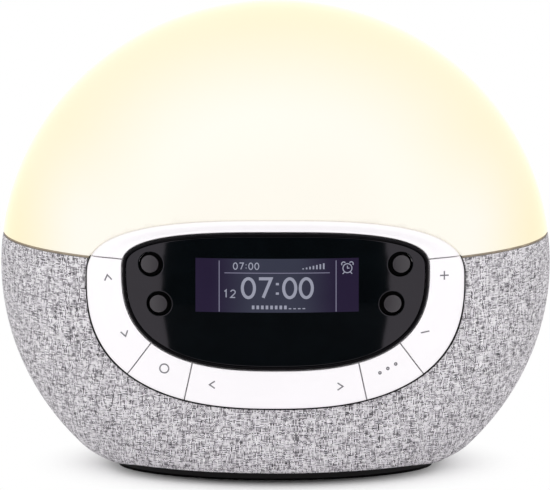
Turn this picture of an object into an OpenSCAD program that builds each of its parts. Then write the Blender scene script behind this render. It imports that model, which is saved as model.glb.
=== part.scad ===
// Sunrise alarm clock: an opal light dome on a fabric-covered housing, with a curved control panel.
// Millimetres. +Z up, the front faces -Y, the origin is under the middle of the foot.

/* [Body] */
// Width of the egg-shaped body
body_w = 210; // [200:1:220]
// Depth of the body, front to back
body_d = 125; // [120:1:132]
// Height of the widest level above the table
waist_z = 77; // [74:1:80]
// Height of the dome's top above the widest level
crown_h = 99; // [95:1:104]
// Vertical half axis of the lower half
belly_h = 97; // [94:1:102]
// Angle by which the body leans back
lean = 7; // [5:0.5:8]
// Level at which the dome meets the fabric
seam_z = 88.5; // [86:0.5:91]
// Slope of the body where it tucks in above the foot
tuck_angle = 25; // [22:1:30]

/* [Walls] */
// Wall of the opal dome
dome_t = 2.5; // [2:0.1:3]
// Thickness of the woven cover
fabric_t = 0.9; // [0.6:0.1:1.2]
// Wall of the housing under the cover
housing_t = 3; // [2.6:0.1:3.4]
// Height of the grey gasket between the dome and the housing
gasket_h = 0.9; // [0.6:0.1:1.4]
// Thickness of the light tray
tray_t = 2; // [1.6:0.1:3]

/* [Control panel] */
// Width of the white key ring
panel_w = 144; // [138:1:148]
// Height of the ring above its centre
panel_top = 36.2; // [34:0.1:38]
// Depth of the ring below its centre
panel_bottom = 36.1; // [34:0.1:38]
// Height of the panel's centre above the table
panel_z = 69.7; // [67:0.1:72]
// How far the keys stand proud of the body
key_proud = 1.6; // [1.2:0.1:2.2]
// Thickness of a key cap
key_t = 2.2; // [1.8:0.1:2.6]
// Gap between two keys
key_gap = 0.45; // [0.3:0.05:0.7]
// Width of the black display window and its rim
window_w = 117; // [112:1:120]
// Height of the window's top above the panel's centre
window_top = 31.8; // [31:0.1:32.4]
// Depth of the window's bottom below the panel's centre
window_bottom = 21; // [20:0.1:22]
// Width of the black rim round the window
rim_w = 1.2; // [0.8:0.1:1.6]

/* [Buttons and switches] */
// Radius of a round button's cap
button_r = 3.6; // [3:0.1:4]
// Radius of the holes in the window for the round buttons
button_hole_r = 4.7; // [4.6:0.1:5.2]
// Travel of a switch plunger
switch_travel = 0.35; // [0.2:0.05:0.5]
// Depth of the switch board behind the panel's face
board_depth = 24; // [23:0.5:26]
// Radius of the rocking keys' steel pins
pin_r = 1; // [0.8:0.1:1.2]

/* [Display] */
// Width of the display glass
lcd_w = 70; // [64:1:72]
// Height of the display glass
lcd_h = 27; // [24:1:28]

/* [Back and base] */
// Width of the rear panel
rear_w = 96; // [90:1:104]
// Height of the rear panel
rear_h = 54; // [52:1:60]
// Height of the rear panel's centre above the table
rear_z = 60; // [57:1:63]
// Radius of the loudspeaker's cone opening
speaker_r = 18; // [16:0.5:19]
// Radius of one hole of the speaker grille
grille_hole_r = 1.1; // [0.8:0.1:1.3]
// Radius of the hollow in the power socket
socket_bore_r = 2.9; // [2.7:0.05:3.1]
// Width of the rubber foot
foot_w = 120; // [116:1:124]
// Depth of the rubber foot, front to back
foot_d = 58; // [54:1:64]
// Height of the rubber foot
foot_h = 2; // [1.5:0.1:3]

/* [Light] */
// Rows of lamps on the lamp board
led_rows = 3; // [2:1:3]
// Lamps in a row
led_columns = 8; // [6:1:9]

/* [Hidden] */

far = 150;              // half size of the blocks that cut the shells
clear = 0.2;            // gap round a part that drops into an opening
glue = 0.3;             // adhesive layer under the cover
key_room = 0.9;         // depth a key can sink before it meets the bezel plate
round_fn = 48;          // sides of the turned parts in a preview
sphere_fn = 180;        // sides of the large curved faces in a preview
seat_fn = 60;           // sides of the curved seats cut into the housing
pilot_sides = 14;       // sides of a screw's pilot hole
boss_sides = 20;        // sides of the housing's screw bosses
thread_gap = 0.05;      // between a screw and its pilot hole
egg_sides = 72;         // sides of the body's level sections
housing_sides = 48;     // sides of the hidden housing
housing_bands = 8;
pole_flat = 0.02;       // height left off the dome's pole, where the level sections would shrink to a point
lower_bands = 11;       // level sections between the foot and the seam
dome_bands = 11;        // level sections between the seam and the top
outline_points = 64;    // points along the panel's outline

// ---------------------------------------------------------------- body shape

body_rx = body_w / 2;
body_ry = body_d / 2;
foot_rx = foot_w / 2;
foot_ry = foot_d / 2;
housing_inset = fabric_t + glue;
housing_inner = housing_inset + housing_t;
cover_z = foot_h + 0.6;
tuck_z = 0.7;
floor_z = 7.6;          // the housing's lower edge, where the tuck ends

function half_height(z, inset) = (z < waist_z ? belly_h : crown_h) - inset;
function lean_y(z) = tan(lean) * (z - foot_h);
function tuck_r(z, inset) = foot_rx + (z - tuck_z) / tan(tuck_angle) - inset / sin(tuck_angle);
function oval_share(z, inset) = sqrt(max(0, 1 - pow((z - waist_z) / half_height(z, inset), 2)));
function level_rx(z, inset) = min((body_rx - inset) * oval_share(z, inset), tuck_r(z, inset));
function level_ry(z, inset) = level_rx(z, inset) * (body_ry - inset) / (body_rx - inset);
function level_angle(z, inset) = asin(max(-1, min(1, (z - waist_z) / half_height(z, inset))));

// One level section of the egg: a flat cone with its rim on the surface and its tip towards the band.
module section(z, inset, sides, tip) {
    translate([0, lean_y(z), z])
        scale([1, level_ry(z, inset) / max(level_rx(z, inset), 0.01), tip])
            cylinder(h = 0.01, r1 = max(level_rx(z, inset), 0.01), r2 = 0, $fn = sides);
}

// The solid egg between two levels, lofted through sections at even angles.
module egg(z0, z1, inset, bands, sides = egg_sides) {
    a0 = level_angle(z0, inset);
    a1 = level_angle(z1, inset);
    level = [for (i = [0:bands]) let (a = a0 + (a1 - a0) * i / bands)
        i == 0 ? z0 : i == bands ? z1 : waist_z + (a < 0 ? belly_h - inset : crown_h - inset) * sin(a)];
    for (i = [0:bands - 1])
        hull() {
            section(level[i], inset, sides, 1);
            section(level[i + 1], inset, sides, -1);
        }
}

// A wall of the egg between two insets and two levels.
module egg_wall(z0, z1, outer, inner, bands, sides = egg_sides) {
    difference() {
        egg(z0, z1, outer, bands, sides);
        egg(z0 - 0.5, z1 + 0.5, inner, bands, sides);
    }
}

// A level oval plate whose edge lies at an inset from the body's skin.
module oval_plate(z, t, rx, ry, sides = egg_sides) {
    translate([0, lean_y(z), z])
        linear_extrude(t)
            polygon([for (i = [0:sides - 1]) [rx * cos(360 * i / sides), ry * sin(360 * i / sides)]]);
}

module oval_ring(z, t, rx, ry, hole_rx, hole_ry, sides = egg_sides) {
    difference() {
        oval_plate(z, t, rx, ry, sides);
        translate([0, lean_y(z) - lean_y(z - 1), 0])
            oval_plate(z - 1, t + 2, hole_rx, hole_ry, sides);
    }
}

// A pilot hole from z = 0 up, just wider than the screw's thread.
module pilot_hole(h) {
    cylinder(h = h, r = (pilot_r + thread_gap) / cos(180 / pilot_sides), $fn = pilot_sides);
}

// ------------------------------------------------- frames of the curved front and back

// Point of the skin at height z, in front (side -1) or behind (side 1), and the skin's upward tilt there.
function skin_y(z, side) = side * body_ry * oval_share(z, 0) + lean_y(z);
function skin_tilt(z, side) =
    let (dy = side * oval_share(z, 0) / body_ry,
         dz = (z - waist_z) / pow(half_height(z, 0), 2) - tan(lean) * dy)
    atan2(dz, abs(dy));

face_r = (pow(body_rx, 2) + pow(belly_h, 2)) / (2 * body_ry);  // mean radius of the front and back
panel_tilt = skin_tilt(panel_z, -1);
rear_tilt = skin_tilt(rear_z, 1);

module on_panel() {
    translate([0, skin_y(panel_z, -1), panel_z])
        rotate([90 - panel_tilt, 0, 0])
            children();
}

module on_rear() {
    translate([0, skin_y(rear_z, 1), rear_z])
        rotate([90 - rear_tilt, 0, 180])
            children();
}

// Where a point of the middle plane of the panel or of the rear panel lies, as [y, z].
function panel_point(y, z) = [skin_y(panel_z, -1) + y * sin(panel_tilt) - z * cos(panel_tilt),
    panel_z + y * cos(panel_tilt) + z * sin(panel_tilt)];
function rear_point(y, z) = [skin_y(rear_z, 1) - y * sin(rear_tilt) + z * cos(rear_tilt),
    rear_z + y * cos(rear_tilt) + z * sin(rear_tilt)];

function sag(p) = face_r - sqrt(pow(face_r, 2) - p[0] * p[0] - p[1] * p[1]);

module face_sphere(z, sides = sphere_fn) {
    translate([0, 0, -face_r])
        sphere(face_r + z, $fn = sides);
}

// A plate of the child's outline, curved like the face, between two depths.
module curved_plate(z0, z1) {
    intersection() {
        translate([0, 0, z0 - 30])
            linear_extrude(z1 - z0 + 36)
                children();
        difference() {
            face_sphere(z1);
            face_sphere(z0);
        }
    }
}

// A post of the child's outline from a level depth up to a curved depth.
module post_under(z_low, z_face) {
    intersection() {
        translate([0, 0, z_low])
            linear_extrude(far)
                children();
        face_sphere(z_face);
    }
}

// ---------------------------------------------------------------- outlines

function oval_point(a, n) = [sign(cos(a)) * pow(abs(cos(a)), 2 / n), sign(sin(a)) * pow(abs(sin(a)), 2 / n)];

// A rounded outline of half width w that is widest at height mid.
module bowed_outline(w, top, bottom, mid, n) {
    polygon([for (i = [0:outline_points - 1])
        let (p = oval_point(360 * i / outline_points, n))
        [w * p[0], mid + (p[1] > 0 ? top - mid : mid + bottom) * p[1]]]);
}

panel_mid = 13;
window_mid = 17;
module panel_outline(inset) {
    bowed_outline(panel_w / 2 - inset, panel_top - inset, panel_bottom - inset, panel_mid, 2.6);
}
module window_outline(inset) {
    bowed_outline(window_w / 2 - inset, window_top - inset, window_bottom - inset, window_mid, 2.7);
}
module rear_outline(inset) {
    bowed_outline(rear_w / 2 - inset, rear_h / 2 - inset, rear_h / 2 - inset, 0, 2.9);
}

// ---------------------------------------------------------------- levels of the panel's layers

key_under = key_proud - key_t;
plate_top = key_under - key_room;
plate_t = 1.6;
plate_under = plate_top - plate_t;
ledge_top = plate_under - 0.1;
window_face = key_proud - 1;
window_under = plate_top + 0.1;
board_z = -board_depth;
board_t = 1.6;
switch_h = 3.4;
switch_w = 6;
plunger_r = 1.75;
plunger_top = board_z + switch_h + 1.6;
plunger_seat = board_z + switch_h - 1.4;
hood_back = board_z - 6;

// Each radial gap between two keys starts at a point of the window's edge and runs at an angle.
gap_start = [[-58, 20.3], [-47.1, -10.9], [-31.6, -18.2]];
gap_angle = [176.8, 233.9, 257.9];
function along_gap(i, s) = gap_start[i] + s * [cos(gap_angle[i]), sin(gap_angle[i])];
gap_in = -13;
gap_out = 60;

module gap_strip(i) {
    translate(along_gap(i, gap_in))
        rotate(gap_angle[i])
            translate([0, -key_gap / 2])
                square([gap_out - gap_in, key_gap]);
}

module key_ring_outline() {
    difference() {
        panel_outline(clear);
        window_outline(-clear);
        for (i = [0:2]) {
            gap_strip(i);
            mirror([1, 0])
                gap_strip(i);
        }
    }
}

// The key outlines on the left; those on the right are mirrored.
module side_key_outline() {
    intersection() {
        key_ring_outline();
        polygon([along_gap(1, gap_in), along_gap(1, gap_out), [-far, -far], [-far, gap_start[0][1] + 5],
            along_gap(0, 30), along_gap(0, gap_in)]);
    }
}
module corner_key_outline() {
    intersection() {
        key_ring_outline();
        polygon([along_gap(1, gap_in), along_gap(1, gap_out), along_gap(2, gap_out), along_gap(2, gap_in)]);
    }
}
module right_key_outline() {
    mirror([1, 0])
        corner_key_outline();
}
module bottom_key_outline() {
    intersection() {
        key_ring_outline();
        polygon([along_gap(2, gap_in), along_gap(2, gap_out), [0, -far],
            [-along_gap(2, gap_out)[0], along_gap(2, gap_out)[1]],
            [-along_gap(2, gap_in)[0], along_gap(2, gap_in)[1]]]);
    }
}

// ---------------------------------------------------------------- places of the keys' working parts

side_marks = [[-64.1, 11.5], [-57.1, -9.5]];
bottom_marks = [[-24.7, -28.2], [24.7, -28.2]];
corner_mark = [-43.2, -23.4];
button_at = [[-47.4, 19], [-44.1, 4.2], [47.4, 19], [44.1, 4.2]];

function middle(m) = (m[0] + m[1]) / 2;
function line_angle(m) = atan2(m[1][1] - m[0][1], m[1][0] - m[0][0]);
function mirrored(p) = [-p[0], p[1]];
right_marks = [mirrored(side_marks[0]), mirrored(side_marks[1])];
rockers = [side_marks, right_marks, bottom_marks];

switch_at = concat(side_marks, right_marks, bottom_marks, [corner_mark, mirrored(corner_mark)], button_at);

stem_r = 2;
stem_clear = 0.8;
lug_w = 5;
lug_t = 4.4;
ear_t = 2;
ear_gap = 0.3;
pin_drop = 4.6;         // pin axis below the underside of its key
pin_fit = 0.05;         // running clearance of the lug on its pin
function pin_z(m) = key_under - sag(middle(m)) - pin_drop;
pin_length = lug_w + 2 * (ear_gap + ear_t);

// The frame of a rocking key: the middle of its two marks, X along its pin.
module at_rocker(m) {
    translate([middle(m)[0], middle(m)[1], pin_z(m)])
        rotate(line_angle(m) + 90)
            children();
}

module rocker_lug(m) {
    difference() {
        union() {
            at_rocker(m)
                rotate([0, 90, 0])
                    cylinder(h = lug_w, r = lug_t / 2, center = true, $fn = round_fn);
            intersection() {
                at_rocker(m)
                    translate([-lug_w / 2, -lug_t / 2, 0])
                        cube([lug_w, lug_t, 20]);
                face_sphere(key_under + 0.2);
            }
        }
        at_rocker(m)
            rotate([0, 90, 0])
                cylinder(h = lug_w + 2, r = pin_r + pin_fit, center = true, $fn = round_fn);
    }
}

module rocker_stems(m) {
    for (p = m)
        post_under(plunger_top, key_under + 0.2)
            translate(p)
                circle(stem_r, $fn = round_fn);
}

// The bearing ears behind the bezel plate.
module rocker_ears(m) {
    difference() {
        intersection() {
            at_rocker(m)
                for (side = [-1, 1])
                    translate([side * (lug_w / 2 + ear_gap + ear_t / 2), 0, 0]) {
                        translate([-ear_t / 2, -lug_t / 2, 0])
                            cube([ear_t, lug_t, 12]);
                        rotate([0, 90, 0])
                            cylinder(h = ear_t, r = lug_t / 2, center = true, $fn = round_fn);
                    }
            face_sphere(plate_under + 0.3);
        }
        at_rocker(m)
            rotate([0, 90, 0])
                cylinder(h = pin_length + 2, r = pin_r + 0.02, center = true, $fn = round_fn);
    }
}

module rocker_holes(m) {
    for (p = m)
        translate([p[0], p[1], board_z])
            cylinder(h = 30, r = stem_r + stem_clear, $fn = round_fn);
    at_rocker(m) {
        translate([-lug_w / 2 - ear_gap, -lug_t / 2 - stem_clear, -5])
            cube([lug_w + 2 * ear_gap, lug_t + 2 * stem_clear, 20]);
        rotate([0, 90, 0])
            cylinder(h = pin_length + 1, r = pin_r + clear, center = true, $fn = round_fn);
    }
}

// ---------------------------------------------------------------- dome, gasket, cover and housing

lip_outer = housing_inner + 0.45;
lip_inner = lip_outer + 1.5;
dome_z = seam_z + gasket_h / 2;
rim_z = seam_z - gasket_h / 2;
tray_top = seam_z - 3;
tray_z = tray_top - tray_t;
hook_angles = [for (a = [20:35:160]) each [a, a + 180]];
hook_w = 8;
hook_inset = lip_inner + 0.6;
hook_clear = 0.4;

// Cuts the panel's outline out of a shell, deeper than a curved depth.
module panel_opening(inset, z_face) {
    on_panel()
        difference() {
            translate([0, 0, -45])
                linear_extrude(75)
                    panel_outline(inset);
            face_sphere(z_face, seat_fn);
        }
}

module panel_hole(inset, depth = 45) {
    on_panel()
        translate([0, 0, -depth])
            linear_extrude(depth + 30)
                panel_outline(inset);
}

// A snap hook under the dome's lip, which catches below the tray's rim.
module dome_hook(angle) {
    rx = level_rx(tray_z, hook_inset);
    ry = level_ry(tray_z, hook_inset);
    translate([rx * cos(angle), lean_y(tray_z) + ry * sin(angle), 0])
        rotate(atan2(rx * sin(angle), ry * cos(angle)))
            hull() {
                translate([-0.8, -hook_w / 2, tray_z - 2])
                    cube([1.6, hook_w, 1]);
                translate([-1, -hook_w / 2, tray_top + 1])
                    cube([2.2, hook_w, 3]);
            }
}

// A block round every hook, from one radial offset to another, from a level up.
module hook_blocks(from, to, z, h) {
    rx = level_rx(tray_z, hook_inset);
    ry = level_ry(tray_z, hook_inset);
    for (a = hook_angles)
        translate([rx * cos(a), lean_y(tray_z) + ry * sin(a), z])
            rotate(atan2(rx * sin(a), ry * cos(a)))
                translate([from, -hook_w / 2 - hook_clear, 0])
                    cube([to - from, hook_w + 2 * hook_clear, h]);
}

module diffuser_dome() {
    color([1, 0.96, 0.84])
        difference() {
            union() {
                difference() {
                    egg(dome_z, waist_z + crown_h - pole_flat, 0, dome_bands);
                    egg(dome_z - 1, waist_z + crown_h - dome_t - pole_flat, dome_t, dome_bands);
                }
                egg_wall(dome_z, dome_z + 2, 0.2, lip_inner, 1);
                egg_wall(tray_top + 0.3, dome_z + 1, lip_outer, lip_inner, 1);
                for (a = hook_angles)
                    dome_hook(a);
            }
            panel_hole(-clear);
        }
}

module dome_gasket() {
    color([0.45, 0.42, 0.38])
        difference() {
            egg_wall(rim_z + 0.05, dome_z - 0.05, 0.4, housing_inner, 2);
            panel_hole(-clear);
            for (i = [0:5]) // drain nicks on the inner edge keep the soft ring from buckling
                translate([0, lean_y(seam_z), seam_z])
                    rotate(60 * i + 30)
                        hull() {
                            translate([-0.5, 0, -gasket_h])
                                cube([1, 0.01, 2 * gasket_h]);
                            translate([-0.5, 1, -gasket_h])
                                cube([1, 0.01, 2 * gasket_h]);
                        }
        }
}

module fabric_cover() {
    color([0.72, 0.72, 0.74])
        difference() {
            egg_wall(cover_z, rim_z, 0, fabric_t, lower_bands);
            panel_hole(-clear);
            on_rear()
                translate([0, 0, -20])
                    linear_extrude(40)
                        rear_outline(-clear);
        }
}

rear_face = 0.4;
rear_t = 2.2;
rear_under = rear_face - rear_t;
rear_ledge = rear_under - 0.1;
rear_screw_at = [for (x = [-1, 1], y = [-1, 1]) [x * (rear_w / 2 - 9.5), y * (rear_h / 2 - 10)]];
base_screw_at = [[foot_rx - 5, 0], [-foot_rx + 5, 0], [0, foot_ry - 4.6], [0, -foot_ry + 4.6]];
lip_h = 2.4;            // height of the lip round the housing's floor opening
ledge_w = 2.8;          // width of the housing's ledge under the bezel
plug_rx = foot_rx - 10.4;
plug_ry = foot_ry - 9.4;
plug_t = 1.6;
base_boss_r = 3.4;
pilot_r = 1;

module lower_housing() {
    color([0.86, 0.86, 0.87])
        difference() {
            union() {
                difference() {
                    egg_wall(floor_z, rim_z, housing_inset, housing_inner, housing_bands, housing_sides);
                    panel_hole(ledge_w);
                    on_rear()
                        translate([0, 0, -30])
                            linear_extrude(50)
                                rear_outline(3);
                }
                oval_ring(floor_z + 0.01, lip_h, level_rx(floor_z + lip_h, housing_inner) + 0.6,
                    level_ry(floor_z + lip_h, housing_inner) + 0.6, plug_rx + clear, plug_ry + clear,
                    housing_sides);
                difference() {
                    oval_ring(tray_z - 2, 1.95, level_rx(tray_z, housing_inner) + 0.5,
                        level_ry(tray_z, housing_inner) + 0.5, level_rx(tray_z, housing_inner) - 3,
                        level_ry(tray_z, housing_inner) - 3, housing_sides);
                    hook_blocks(-4, 1.2 + hook_clear, tray_z - 3, 4);
                }
                for (p = base_screw_at)
                    translate([p[0], p[1] + lean_y(floor_z), floor_z + 0.02])
                        cylinder(h = 10, r = base_boss_r, $fn = boss_sides);
                on_rear()
                    for (p = rear_screw_at)
                        translate([p[0], p[1], -sag(p) + rear_ledge - 9])
                            cylinder(h = 8.6, r = 3.2, $fn = boss_sides);
            }
            panel_opening(-clear, ledge_top);
            panel_hole(ledge_w);
            on_rear()
                difference() {
                    translate([0, 0, -30])
                        linear_extrude(50)
                            rear_outline(-clear);
                    face_sphere(rear_ledge, seat_fn);
                }
            for (p = base_screw_at)
                translate([p[0], p[1] + lean_y(floor_z), floor_z - 1])
                    pilot_hole(9);
            on_rear()
                for (p = rear_screw_at)
                    translate([p[0], p[1], -sag(p) + rear_ledge - 8])
                        pilot_hole(12);
        }
}

// ---------------------------------------------------------------- base

base_z = foot_h;
base_top = floor_z - 0.1;
base_floor_t = 2;
base_rim_rx = level_rx(base_top, housing_inset);
base_rim_ry = level_ry(base_top, housing_inset);
board_size = [96, 36, 1.6];
main_board_z = base_z + 11;
main_post_at = [for (x = [-1, 1], y = [-1, 1]) [x * (board_size[0] / 2 - 14), y * (board_size[1] / 2 - 8)]];
lead_x = board_size[0] / 2 - 8;  // where the lamps' lead meets the main board

// The dish that closes the bottom, with a plug that locates it in the housing.
module base_plate() {
    color([0.06, 0.06, 0.07])
        difference() {
            union() {
                difference() {
                    hull() {
                        oval_plate(base_z, 0.01, foot_rx + 0.4, foot_ry + 0.5);
                        oval_plate(base_top - 0.01, 0.01, base_rim_rx, base_rim_ry);
                    }
                    oval_plate(base_z + base_floor_t, 10, foot_rx - 2, foot_ry - 1.4);
                }
                translate([0, lean_y(floor_z) - lean_y(base_z + 0.5), 0])
                    oval_ring(base_z + 0.5, floor_z + 2 - base_z, plug_rx, plug_ry, plug_rx - plug_t,
                        plug_ry - plug_t);
                for (p = base_screw_at)
                    translate([p[0], p[1] + lean_y(floor_z), base_z + 0.5])
                        cylinder(h = base_top - base_z - 0.5, r = base_boss_r, $fn = round_fn);
                for (p = main_post_at)
                    translate([p[0], p[1], base_z + 0.5])
                        cylinder(h = main_board_z - base_z - 0.5, r = 3, $fn = round_fn);
            }
            for (p = base_screw_at)
                translate([p[0], p[1] + lean_y(floor_z), base_z - 1])
                    cylinder(h = 12, r = pilot_r + 0.5, $fn = round_fn);
            for (p = main_post_at)
                translate([p[0], p[1], main_board_z - 6])
                    pilot_hole(8);
        }
}

module foot_pad() {
    color([0.03, 0.03, 0.03])
        difference() {
            translate([0, -lean_y(0), 0])
                oval_plate(0, foot_h - 0.02, foot_rx, foot_ry);
            for (p = base_screw_at)
                translate([p[0], p[1] + lean_y(floor_z), -1])
                    cylinder(h = foot_h + 2, r = 3, $fn = round_fn);
        }
}

// A self-tapping screw with a cross recess, head up, its seat at z = 0.
module screw(shank_r, length, head_r, head_h) {
    difference() {
        union() {
            translate([0, 0, -length])
                cylinder(h = length + 0.1, r = shank_r, $fn = round_fn);
            cylinder(h = head_h, r = head_r, $fn = round_fn);
        }
        for (a = [0, 90])
            rotate(a)
                translate([-head_r * 0.6, -0.25, head_h - 0.6])
                    cube([head_r * 1.2, 0.5, 1]);
    }
}

module base_screws() {
    color([0.6, 0.6, 0.62])
        for (p = base_screw_at)
            translate([p[0], p[1] + lean_y(floor_z), base_z])
                rotate([180, 0, 0])
                    screw(pilot_r, 11, 2.5, 1.2);
}

// ---------------------------------------------------------------- light engine

led_board_size = [128, 46, 1.6];
led_pitch = [14.5, 13];
led_size = [3, 3, 0.9];
led_post_h = 3;
led_screw_at = [for (x = [-1, 1], y = [-1, 1])
    [x * (led_board_size[0] / 2 - 5), y * (led_board_size[1] / 2 - 5)]];
tray_gap = 0.8;         // between the tray's edge and the housing
lamp_y = 14;            // the lamp board sits behind the panel's hood

module at_lamps() {
    translate([0, lean_y(tray_z) + lamp_y, tray_top])
        children();
}

hood_inset = ledge_w + 0.3;
hood_t = 1.6;

// A box behind the bezel where the panel stands above the tray.
module panel_hood() {
    intersection() {
        on_panel()
            intersection() {
                difference() {
                    translate([0, 0, hood_back])
                        linear_extrude(far)
                            panel_outline(hood_inset);
                    translate([0, 0, hood_back + hood_t])
                        linear_extrude(far)
                            panel_outline(hood_inset + hood_t);
                }
                face_sphere(plate_under - 0.1);
            }
        translate([-far, -far, tray_z + 0.5])
            cube([2 * far, 2 * far, far]);
    }
}

module light_tray() {
    color([0.95, 0.95, 0.94])
        union() {
            difference() {
                oval_plate(tray_z, tray_t, level_rx(tray_z, housing_inner + tray_gap),
                    level_ry(tray_z, housing_inner + tray_gap));
                panel_hole(hood_inset + hood_t / 2, -hood_back - hood_t / 2);
                hook_blocks(-1.5, 4.5, tray_z - 1, tray_t + 2);
                at_lamps()
                    translate([lead_x, 0, -far / 2])
                        cylinder(h = far, r = 4, $fn = round_fn);
            }
            difference() {
                at_lamps()
                    for (p = led_screw_at)
                        translate([p[0], p[1], -0.5])
                            cylinder(h = led_post_h + 0.5, r = 3, $fn = round_fn);
                at_lamps()
                    for (p = led_screw_at)
                        translate([p[0], p[1], 0.2])
                            pilot_hole(led_post_h + 2);
            }
            panel_hood();
        }
}

module led_board() {
    color([0.93, 0.93, 0.95])
        difference() {
            at_lamps()
                translate([-led_board_size[0] / 2, -led_board_size[1] / 2, led_post_h])
                    cube(led_board_size);
            at_lamps()
                for (p = led_screw_at)
                    translate([p[0], p[1], led_post_h - 1])
                        cylinder(h = 4, r = pilot_r + 0.3, $fn = round_fn);
        }
}

module leds() {
    first = [-(led_columns - 1) / 2 * led_pitch[0], -(led_rows - 1) / 2 * led_pitch[1]];
    color([1, 0.9, 0.55])
        at_lamps()
            for (i = [0:led_columns - 1], j = [0:led_rows - 1])
                translate([first[0] + i * led_pitch[0] - led_size[0] / 2,
                    first[1] + j * led_pitch[1] - led_size[1] / 2, led_post_h + led_board_size[2]])
                    cube(led_size);
}

module tray_screws() {
    color([0.6, 0.6, 0.62])
        at_lamps()
            for (p = led_screw_at)
                translate([p[0], p[1], led_post_h + led_board_size[2]])
                    screw(pilot_r, 4, 2, 1.2);
}

// A flat lead, bent in one plane: a polyline with a thickness, as wide as its wires.
module flat_lead(points, thickness, width) {
    rotate([90, 0, 90])
        linear_extrude(width, center = true)
            for (i = [0:len(points) - 2])
                let (a = points[i], b = points[i + 1], d = b - a, length = norm(d))
                    translate(a)
                        rotate(atan2(d[1], d[0]))
                            translate([-thickness / 2, -thickness / 2])
                                square([length + thickness, thickness]);
}

module led_lead() {
    color([0.85, 0.2, 0.15])
        translate([lead_x, 0, 0])
            flat_lead([[lean_y(tray_z) + lamp_y, tray_top + led_post_h - 0.6],
                [lean_y(tray_z) + lamp_y, main_board_z + 24], [8, main_board_z + 8.2],
                [8, main_board_z + board_size[2] + 0.6]], 1, 4);
}

// ---------------------------------------------------------------- control panel: fixed parts

module bezel_band_outline() {
    difference() {
        panel_outline(clear);
        window_outline(-clear);
        polygon([along_gap(0, gap_out), along_gap(0, gap_in), mirrored(along_gap(0, gap_in)),
            mirrored(along_gap(0, gap_out)), [far, -far], [-far, -far]]);
        gap_strip(0);
        mirror([1, 0])
            gap_strip(0);
    }
}

screw_post_at = [[-40, 25.5], [40, 25.5], [-30, -14], [30, -14]];
lcd_centre = [0, 11.4];
lcd_front = window_under - sag([lcd_w / 2, lcd_centre[1] + lcd_h / 2]) - 0.3;
lcd_t = 2.6;
backlight_t = 3;

module lcd_opening(extra) {
    translate([lcd_centre[0] - lcd_w / 2 - extra, lcd_centre[1] - lcd_h / 2 - extra])
        square([lcd_w + 2 * extra, lcd_h + 2 * extra]);
}

module panel_bezel() {
    color([0.96, 0.96, 0.97])
        on_panel()
            union() {
                curved_plate(plate_top - 0.5, key_proud)
                    bezel_band_outline();
                difference() {
                    curved_plate(plate_under, plate_top)
                        difference() {
                            panel_outline(clear);
                            lcd_opening(0.6);
                        }
                    for (m = rockers)
                        rocker_holes(m);
                    for (p = [corner_mark, mirrored(corner_mark)])
                        translate([p[0], p[1], board_z])
                            cylinder(h = 30, r = stem_r + 0.5, $fn = round_fn);
                    for (p = button_at)
                        translate([p[0], p[1], board_z])
                            cylinder(h = 30, r = button_hole_r, $fn = round_fn);
                }
                for (m = rockers)
                    rocker_ears(m);
                difference() {
                    for (p = screw_post_at)
                        post_under(board_z, plate_under + 0.3)
                            translate(p)
                                circle(3, $fn = round_fn);
                    for (p = screw_post_at)
                        translate([p[0], p[1], board_z - 1])
                            pilot_hole(8);
                }
            }
}

module window_rim() {
    color([0.02, 0.02, 0.02])
        on_panel()
            curved_plate(plate_top + 0.05, key_proud - 0.4)
                difference() {
                    window_outline(clear);
                    window_outline(clear + rim_w);
                }
}

module display_window() {
    color([0.03, 0.03, 0.04])
        on_panel()
            difference() {
                curved_plate(window_under, window_face)
                    window_outline(clear + rim_w + 0.1);
                for (p = button_at)
                    translate([p[0], p[1], -30])
                        cylinder(h = 40, r = button_hole_r, $fn = round_fn);
            }
}

module lcd_glass() {
    color([0.18, 0.16, 0.3])
        on_panel()
            translate([0, 0, lcd_front - lcd_t])
                linear_extrude(lcd_t)
                    lcd_opening(0);
}

module lcd_backlight() {
    color([0.85, 0.87, 0.9])
        on_panel()
            translate([0, 0, lcd_front - lcd_t - backlight_t])
                linear_extrude(backlight_t - 0.1)
                    lcd_opening(-1);
}

// The frame holds the glass and its backlight and stands on the board with four legs.
module lcd_frame() {
    frame_z = lcd_front - lcd_t - backlight_t - 1.2;
    color([0.1, 0.1, 0.1])
        on_panel()
            union() {
                translate([0, 0, frame_z])
                    linear_extrude(1.1)
                        lcd_opening(0.4);
                translate([0, 0, frame_z])
                    linear_extrude(backlight_t + 1.1)
                        difference() {
                            lcd_opening(0.4);
                            lcd_opening(-0.9);
                        }
                for (x = [-1, 1], y = [-1, 1])
                    translate([x * (lcd_w / 2 - 3), lcd_centre[1] + y * (lcd_h / 2 - 3), board_z])
                        cylinder(h = frame_z - board_z + 0.2, r = 1.6, $fn = round_fn);
            }
}

module panel_board() {
    color([0.1, 0.35, 0.2])
        on_panel()
            difference() {
                translate([0, 0, board_z - board_t])
                    linear_extrude(board_t - 0.05)
                        panel_outline(hood_inset + hood_t + clear);
                for (p = screw_post_at)
                    translate([p[0], p[1], board_z - 4])
                        cylinder(h = 8, r = pilot_r + 0.3, $fn = round_fn);
            }
}

module panel_board_screws() {
    color([0.6, 0.6, 0.62])
        on_panel()
            for (p = screw_post_at)
                translate([p[0], p[1], board_z - board_t])
                    rotate([180, 0, 0])
                        screw(pilot_r, 6, 2.2, 1.4);
}

module panel_ribbon() {
    start = panel_point(-18, board_z - board_t - 0.6);
    color([0.85, 0.83, 0.75])
        flat_lead([start, start + [6, 0], [start[0] + 6, main_board_z + 10], [-8, main_board_z + 4],
            [-8, main_board_z + board_size[2] + 0.6]], 0.6, 16);
}

// ---------------------------------------------------------------- switches, pins, keys and buttons

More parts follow.
